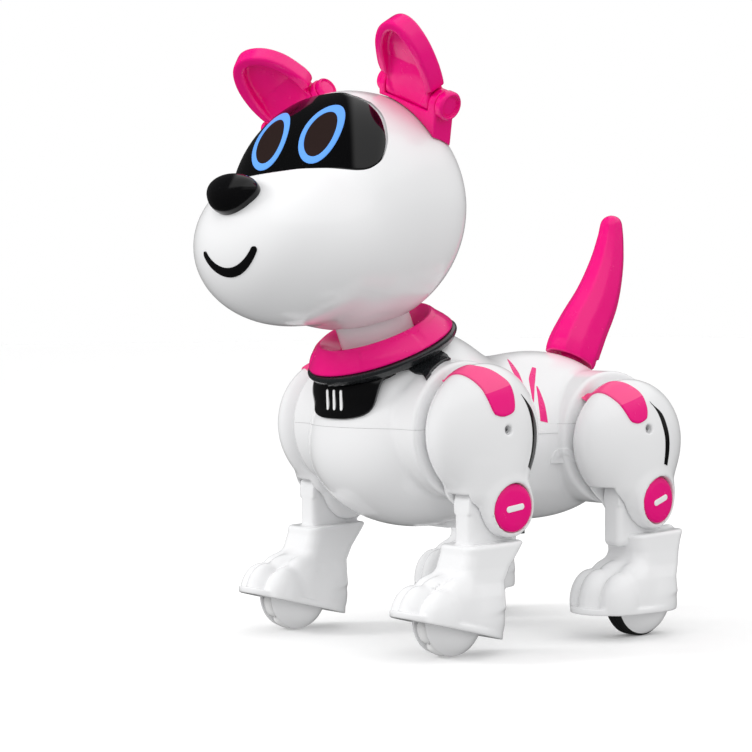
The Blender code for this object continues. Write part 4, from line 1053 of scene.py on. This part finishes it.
for end in ("front", "rear"):
    hy, hz, ky, kz, wy = LEG[end]
    uv, uq = surface(lambda P: upper_f(P, end), (42, min(hy, ky) - 34, kz - 16), (73, max(hy, ky) + 34, hz + 33), 0.8)
    lv, lq = surface(lambda P: lower_f(P, end), (35, wy - 36, 6), (75, wy + 50, kz + 14), 0.75)
    c, ax = cap_centre(end), cap_axis(end)
    skin = lambda P: upper_skin(P, end)
    for side, s in (("left", 1), ("right", -1)):
        tag = f"{end}_{side}"
        mir = s < 0
        hip, knee, wh = "upper_" + tag, "lower_" + tag, "roll_" + tag
        piece("upper_leg_" + tag, uv, uq, WHITE, hip, ("upper_leg_" + tag,), mirror=mir)
        piece("lower_leg_" + tag, lv, lq, WHITE, knee, ("lower_leg_" + tag,), mirror=mir)
        # shoulder pad in pink, its upper part lighter as a painted highlight
        flat, to3, away = aim((0.66, -0.22, 0.72), (50, hy + 2, hz), 60)
        plate("shoulder_pad_" + tag, spline(flat(PADS[end]), 6), skin, to3, away, 0, 60, PAD_HIGHLIGHT_MAT[end], hip, height=0.75, sink=0.7,
              edge=0.9, rings=16, mirror=mir)
        flat, to3, away = aim((1, 0.12, 0.1), (50, hy, hz), 60)
        L, R = (spline(flat(q), 12, closed=False) for q in STRIPES[end])
        R = L + (R - L) * 1.3
        strip("leg_stripe_" + tag, L, R, skin, to3, away, 0, 60, BLACK, hip, height=0.22, sink=0.4, edge=0.2, across=4,
              mirror=mir)
        # dark screw head at the bottom of its recess
        hx = HOLE_AT[end]
        m = Matrix.Translation((hx[0] - 2.4, hx[1], hx[2])) @ Matrix.Rotation(math.pi / 2, 4, 'Y')
        lathe("screw_" + tag, [(0, 0.8), (0.5, 0.8), (0.7, 0.3), (1.4, 0.3), (1.8, 0.0), (1.8, -0.5), (0, -0.5)], STEEL, hip, m, 32, mirror=mir)
        # knee cap: slightly domed, with a raised rim line and an inset white slot
        m = Matrix.Translation(Vector(c)) @ Matrix.Rotation(math.radians(CAP_TURN[end]), 4, 'Z') @ Matrix.Rotation(math.pi / 2, 4, 'Y')
        cap = [(0, 1.15), (4, 1.1), (7.5, 0.85), (9.3, 0.45), (10.0, 0.05), (10.35, -0.5), (10.35, -1.7), (2.4, -1.7), (2.4, -20.0), (0, -20.0)]
        lathe("knee_pin_" + tag, fillet(cap, 0.3, 3), PINK, hip, m, 120, ("knee_pin_" + tag,), mirror=mir)
        al = math.radians(SLOT_TILT[end])
        q = np.linspace(0, 2 * math.pi, 56, endpoint=False)
        bar = np.stack([np.where(np.cos(q) >= 0, 3.6, -3.6) + 1.35 * np.cos(q), 1.35 * np.sin(q)], 1)
        bar = np.stack([bar[:, 0] * math.cos(al) - bar[:, 1] * math.sin(al), bar[:, 0] * math.sin(al) + bar[:, 1] * math.cos(al)], 1)
        rows = []
        side_y = np.cross((0, 0, 1.0), ax)
        for k, lift in ((1.0, 0.2), (1.0, 1.05), (0.97, 1.25), (0.86, 1.33), (0.5, 1.36)):
            b2 = bar * np.array((1, 1)) * (k if k > 0.9 else 1)
            if k <= 0.9:
                b2 = bar * np.array((k + (1 - k) * 0.5, k))
            rows.append(c + b2[:, :1] * side_y + b2[:, 1:] * np.array((0, 0, 1.0)) + ax * lift)
        v, f = rings_mesh(rows, cap0=True, cap1=True)
        piece("knee_slot_" + tag, v, f, PALE, hip, mirror=mir, sharp=45)
        # wheels
        W = Matrix.Translation((55, wy, WHEEL_R)) @ Matrix.Rotation(math.pi / 2, 4, 'Y')
        dome = [(2.0, 12.2), (2.4, 12.4), (5.0, 12.1), (8.6, 11.0), (11.6, 9.0), (13.7, 6.6), (14.7, 5.2)]
        if end == "rear":
            half = dome + [(15.0, 4.5), (14.8, 4.15), (13.4, 4.1)]
            prof = half + [(r, -h) for r, h in half[::-1]]
            lathe("wheel_" + tag, prof, WHITE, wh, W, 120, ("wheel_" + tag,), mirror=mir, sharp=40)
            n = 240
            tyre = []
            for r, h in fillet([(13.55, 3.9), (15.4, 3.9), (16.0, 3.2), (16.0, 1.5), (15.75, 1.2), (15.75, 0.9), (16.0, 0.6), (16.0, -0.6), (15.75, -0.9), (15.75, -1.2),
                                (16.0, -1.5), (16.0, -3.2), (15.4, -3.9), (13.55, -3.9)], 0.25, 2, closed=True):
                tyre.append((r, h))
            lathe("tyre_" + tag, tyre, RUBBER, wh, W, 144, ("tyre_" + tag,), mirror=mir, sharp=40)
        else:
            half = dome + [(15.2, 4.6), (15.3, 4.2), (15.1, 3.8), (12.9, 3.6), (12.7, 3.0)]
            prof = half + [(12.7, -3.0)] + [(r, -h) for r, h in half[::-1]][1:]
            lathe("wheel_" + tag, prof, WHITE, wh, W, 120, ("wheel_" + tag,), mirror=mir, sharp=40)
            # ring of small rollers between the two domes
            nr = 8
            for i in range(nr):
                a = 2 * math.pi * i / nr + 0.35
                t = np.linspace(-0.36, 0.36, 9)
                rings = []
                for tt in t:
                    rc = 13.4
                    cx = np.array((0, rc * math.cos(a + tt), rc * math.sin(a + tt)))
                    rad = 2.45 * math.sqrt(max(0.03, 1 - (abs(tt) / 0.385) ** 4))
                    p = np.linspace(0, 2 * math.pi, 24, endpoint=False)
                    er = np.array((0, math.cos(a + tt), math.sin(a + tt)))
                    rings.append(cx + rad * (np.cos(p)[:, None] * er + np.sin(p)[:, None] * np.array((1.25, 0, 0))))
                v, f = rings_mesh(rings)
                piece(f"roller_{i + 1}_{tag}", v + np.array((55, wy, WHEEL_R)), f, PALE, wh, mirror=mir, sharp=50)


# ------------------------------------------------------------------ ears (local axes: x along the pin, y up the flap, z out of its front)
def ear_frame(s, lean):
    q, l = math.radians(EAR_SLOPE), math.radians(lean)
    e1 = Vector((s * math.cos(q), 0, -math.sin(q)))
    n = Vector((s * math.sin(q), 0, math.cos(q)))
    f = Vector((0, -1, 0))
    e2 = n * math.cos(l) + f * math.sin(l)
    e3 = f * math.cos(l) - n * math.sin(l)
    m = Matrix((e1, e2, e3)).transposed().to_4x4()
    return YAW @ Matrix.Translation(Vector((s * EAR_PIVOT[0], EAR_PIVOT[1], EAR_PIVOT[2]))) @ m


FLAP = spline([(-12.9, 6.9), (-15.4, 7.0), (-16.9, 10.0), (-17.0, 15), (-15.6, 23.5), (-11.5, 31.0), (-5.3, 35.8), (0.6, 36.8), (6.4, 33.8), (11.6, 26.6), (14.8, 17), (15.6, 8.4), (14.6, 6.9), (12.9, 6.0), (0, 4.0)], 8)
INNER = spline([(-11.0, 3.0), (-12.2, 12), (-11.9, 19.5), (-9.0, 26.6), (-4.8, 31.0), (-0.4, 31.8), (3.8, 28.6), (7.8, 21.6), (10.4, 13), (10.8, 5.5), (6, -1.5), (-5, -2.0)], 8)


def flap_f(P):
    x, y, z = P[:, 0], P[:, 1], P[:, 2]
    d2 = poly_d(x, y, FLAP)
    ex = np.abs(z) - 4.3
    d = smax(d2, ex, 1.6)
    floor_z = 0.4 + np.clip(15.0 - y, 0, 30) * 0.29
    rec = smax(poly_d(x, y, INNER), floor_z - z, 1.2)
    web = smax(smax(np.abs(x) - 12.9, y - 9.5, 0.6), np.maximum(-y, np.abs(z) - 4.2), 0.6)
    kn = cyl_d(P, (-13.1, 0, 0), (13.1, 0, 0), 5.7, 0.7)
    d = smin(smin(d, web, 1.0), kn, 1.2)
    d = smax(d, -rec, 1.4)
    return np.maximum(d, -cyl_d(P, (-30, 0, 0), (30, 0, 0), 1.9))


def base_f(P, m, s):
    x, y, z = P[:, 0], P[:, 1], P[:, 2]
    slab = box_d(P, (0.6, -10.8, 0), (17.6, 9.2, 5.6), 1.0)
    # the slab is trimmed so that its lower edge follows the crown of the head
    d = slab
    for a, b in ((-16.7, -13.6), (13.6, 17.6)):
        d = smin(d, cyl_d(P, (a, 0, 0), (b, 0, 0), 5.9, 0.6), 1.2)
    d = smax(d, -cyl_d(P, (-13.45, 0, 0), (13.45, 0, 0), 6.15), 0.5)
    d = np.maximum(d, -cyl_d(P, (-30, 0, 0), (30, 0, 0), 1.9))
    W = P @ m[:3, :3].T + m[:3, 3]
    return smax(d, 0.35 - head_f(W), 0.4)


YI = np.array(YAW.inverted())
fv, fq = surface(flap_f, (-20, -8, -8), (20, 42, 8), 0.65)
for side, s in (("left", 1), ("right", -1)):
    body = "ear_" + side
    m = ear_frame(s, EAR_LEAN[s] - 3.0)
    piece("ear_flap_" + side, fv, fq, PINK, body, ("ear_flap_" + side,), m)
    m = ear_frame(s, BASE_LEAN)
    to_head = YI @ np.array(m)
    bv, bq = surface(lambda P: base_f(P, to_head, s), (-19, -22, -8), (20, 8, 8), 0.65)
    piece("ear_base_" + side, bv, bq, PINK, "head", ("ear_base_" + side,), m)
    X = Matrix.Rotation(math.pi / 2, 4, 'Y')
    outer = fillet([(0, 20.9), (3.6, 20.85), (4.5, 20.6), (4.7, 21.6), (5.2, 22.0), (5.8, 21.6), (6.3, 20.9), (6.3, 18.2), (1.7, 18.2), (1.7, 0), (0, 0)], 0.3, 3)
    lathe("ear_pin_" + side, outer, PINK, "head", m @ X, 96, ("ear_pin_" + side,))
    inner = fillet([(0, 19.2), (3.4, 19.15), (3.9, 18.9), (4.1, 19.5), (4.5, 19.8), (4.9, 19.4), (5.2, 18.8), (5.2, 17.0), (1.7, 17.0), (1.7, 0.2), (0, 0.2)], 0.25, 3)
    lathe("ear_cap_inner_" + side, inner, PINK, "head", m @ Matrix.Rotation(-math.pi / 2, 4, 'Y'), 96)

# ------------------------------------------------------------------ tail: facets with a ridge band down its outer side
SPINE = [((0, 66.0, 116), 8.4, 8.4), ((0, 66.6, 120), 10.4, 11.4), ((0, 67.5, 125.5), 11.4, 13.2), ((0, 73.5, 136), 10.6, 12.6),
         ((0, 82.5, 150), 9.2, 11.0), ((0, 88.5, 165), 7.6, 8.6), ((0, 91.3, 178), 6.0, 6.4), ((0, 91.9, 186.5), 4.9, 5.0), ((0, 91.9, 189.6), 4.4, 4.5)]
SECTION = [(14, 1.0), (50, 1.0), (90, 1.02), (130, 1.0), (166, 1.0), (194, 1.0), (230, 1.0), (270, 1.02), (310, 1.0), (346, 1.0)]


def tail_section(P, c, t, b, hx, hb):
    """Distance in the plane of a rounded ten-sided section."""
    x, y = P[:, 0] - c[:, 0], ((P - c) * b).sum(1)
    u, v = x / hx, y / hb
    d = None
    for deg, k in ((0, 0.93), (36, 0.97), (72, 0.98), (108, 0.98), (144, 0.97), (180, 0.93), (216, 0.97), (252, 0.98), (288, 0.98), (324, 0.97)):
        a = math.radians(deg)
        e = u * math.cos(a) + v * math.sin(a) - k
        d = e if d is None else smax(d, e, 0.035)
    return d * np.minimum(hx, hb)


SP = np.array([c for c, _, _ in SPINE])
SPD = spline(SP, 8, closed=False)
SPH = spline(np.array([(hx, hb, 0) for _, hx, hb in SPINE]), 8, closed=False)


def tail_f(P):
    # nearest station along the spine
    d2 = ((P[:, None, 1:] - SPD[None, :, 1:]) ** 2).sum(2)
    i = np.clip(d2.argmin(1), 1, len(SPD) - 2)
    t = SPD[i + 1] - SPD[i - 1]
    t = t / np.linalg.norm(t, axis=1)[:, None]
    off = ((P - SPD[i]) * t).sum(1)
    step = np.linalg.norm(SPD[i + 1] - SPD[i - 1], axis=1) / 2
    w = np.clip(off / step, -1, 1)
    j = np.where(w >= 0, i + 1, i - 1)
    aw = np.abs(w)[:, None]
    c = SPD[i] * (1 - aw) + SPD[j] * aw
    h = SPH[i] * (1 - aw) + SPH[j] * aw
    b = np.stack([np.zeros(len(t)), t[:, 2], -t[:, 1]], 1)
    d = tail_section(P, c, t, b, h[:, 0], h[:, 1])
    tip, tt = SPD[-1], (SPD[-1] - SPD[-2]) / np.linalg.norm(SPD[-1] - SPD[-2])
    d = smax(d, (P - tip) @ tt, 5.0)
    d = smax(d, 2.2 - torso_body(P), 0.5)
    return smin(d, smax(cyl_d(P, (0, 66, 108), (0, 66, 131), 4.8), P[:, 2] - 131, 0.3), 0.4)


solid("tail", tail_f, (-14, 50, 106), (14, 102, 193), 0.8, PINK, "tail_body", ("tail",))


# ------------------------------------------------------------------ floor, light, camera
LOOK = {
    "battery_door": WHITE, "battery_door_screw": STEEL, "battery_pack": GREY, "main_circuit_board": BOARD,
    "speaker": GREY, "front_leg_axle": STEEL, "rear_leg_axle": STEEL, "drive_gearbox": WHITE_IN, "power_switch": GREY,
    "head_pivot_pin": STEEL, "eye_display_board": BOARD,
}
for node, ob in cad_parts.items():
    mat = LOOK.get(node)
    if mat is None:
        if node.startswith("wheel_axle"):
            mat = STEEL
        elif "ear" in node or node.startswith(("knee_pin", "tail", "collar_ring")):
            mat = PINK
        elif node.startswith("tyre"):
            mat = RUBBER
        else:
            mat = WHITE
    ob.data.materials.clear()
    ob.data.materials.append(mat)

bpy.context.scene.view_settings.view_transform = "Standard"
world = bpy.data.worlds.new("studio")
bpy.context.scene.world = world
world.use_nodes = True
wt = world.node_tree
wt.nodes.clear()


def wnode(kind, **inputs):
    n = wt.nodes.new(kind)
    for k, v in inputs.items():
        n.inputs[k].default_value = v
    return n


def wmath(op, a, b=None, clamp=False):
    n = wt.nodes.new("ShaderNodeMath")
    n.operation, n.use_clamp = op, clamp
    for i, v in enumerate((a, b)):
        if v is None:
            continue
        if isinstance(v, (int, float)):
            n.inputs[i].default_value = v
        else:
            wt.links.new(v, n.inputs[i])
    return n.outputs[0]


def ramp(value, a, b, lo, hi):
    """Smooth step of value from a..b to lo..hi."""
    n = wt.nodes.new("ShaderNodeMapRange")
    n.interpolation_type = 'SMOOTHSTEP'
    wt.links.new(value, n.inputs["Value"])
    for k, v in (("From Min", a), ("From Max", b), ("To Min", lo), ("To Max", hi)):
        n.inputs[k].default_value = v
    return n.outputs["Result"]


sky = wt.nodes.new("ShaderNodeTexCoord")
sep = wt.nodes.new("ShaderNodeSeparateXYZ")
wt.links.new(sky.outputs["Generated"], sep.inputs[0])
X, Y, Z = sep.outputs
# soft light: bright above, paler at the sides, dim from below
soft = wmath('ADD', ramp(Z, -0.7, 0.1, 0.52, 0.90), ramp(Z, 0.0, 0.9, 0.0, 0.32))
# what glossy parts mirror: a dark room with one overhead softbox and a long low one at the side
lean = wmath('ADD', wmath('MULTIPLY', X, 0.86), wmath('MULTIPLY', Y, 0.51))
over = wmath('MULTIPLY', ramp(Z, 0.42, 0.56, 0.0, 1.0), ramp(lean, -0.42, -0.28, 0.0, 1.0))
low = wmath('MULTIPLY', ramp(Z, 0.02, 0.2, 0.0, 1.0), ramp(lean, 0.2, 0.5, 0.0, 0.25))
shine = wmath('ADD', wmath('MULTIPLY', over, 0.75), wmath('ADD', low, 0.05))
path = wt.nodes.new("ShaderNodeLightPath")


def pick(fac, a, b):
    n = wt.nodes.new("ShaderNodeMix")
    n.data_type = 'FLOAT'
    wt.links.new(fac, n.inputs[0])
    for i, v in ((2, a), (3, b)):
        if isinstance(v, (int, float)):
            n.inputs[i].default_value = v
        else:
            wt.links.new(v, n.inputs[i])
    return n.outputs[0]


level = pick(path.outputs["Is Glossy Ray"], soft, shine)
level = pick(path.outputs["Is Camera Ray"], level, 1.0)
bg = wnode("ShaderNodeBackground", Color=(1.0, 1.0, 1.0, 1))
wt.links.new(level, bg.inputs["Strength"])
wo = wt.nodes.new("ShaderNodeOutputWorld")
wt.links.new(bg.outputs[0], wo.inputs["Surface"])

me = bpy.data.meshes.new("floor")
me.from_pydata([(-6, -6, 0), (6, -6, 0), (6, 6, 0), (-6, 6, 0)], [], [(0, 1, 2, 3)])
floor = bpy.data.objects.new("floor", me)
bpy.context.scene.collection.objects.link(floor)
FLOOR = plastic("pale studio floor", (0.93, 0.93, 0.93), 0.55, 0.04, 0.0, 0.01, specular=0.2, emission=0.085)
me.materials.append(FLOOR)
floor.visible_diffuse = False
floor.visible_glossy = False


def area(name, loc, target, size, power, size_y=None):
    light = bpy.data.lights.new(name, 'AREA')
    light.energy = power
    light.size = size
    if size_y:
        light.shape = 'RECTANGLE'
        light.size_y = size_y
    ob = bpy.data.objects.new(name, light)
    bpy.context.scene.collection.objects.link(ob)
    ob.location = loc
    ob.rotation_euler = (Vector(target) - Vector(loc)).to_track_quat('-Z', 'Y').to_euler()
    ob.visible_glossy = False
    return ob


area("key", (-0.72, -1.0, 0.72), (0, -0.02, 0.12), 0.38, 6.5)
area("fill", (1.1, -0.9, 1.0), (0, 0, 0.13), 0.8, 2.0, 0.8)

cam = bpy.data.cameras.new("camera")
cam.lens = 117
cam.sensor_width = 36
cam.clip_end = 30
camera = bpy.data.objects.new("camera", cam)
bpy.context.scene.collection.objects.link(camera)
camera.location = (0.8426, -0.68732, 0.151)
camera.rotation_euler = (Vector((-0.0249, -0.00982, 0.1155)) - camera.location).to_track_quat('-Z', 'Y').to_euler()
bpy.context.scene.camera = camera

bpy.context.view_layer.update()
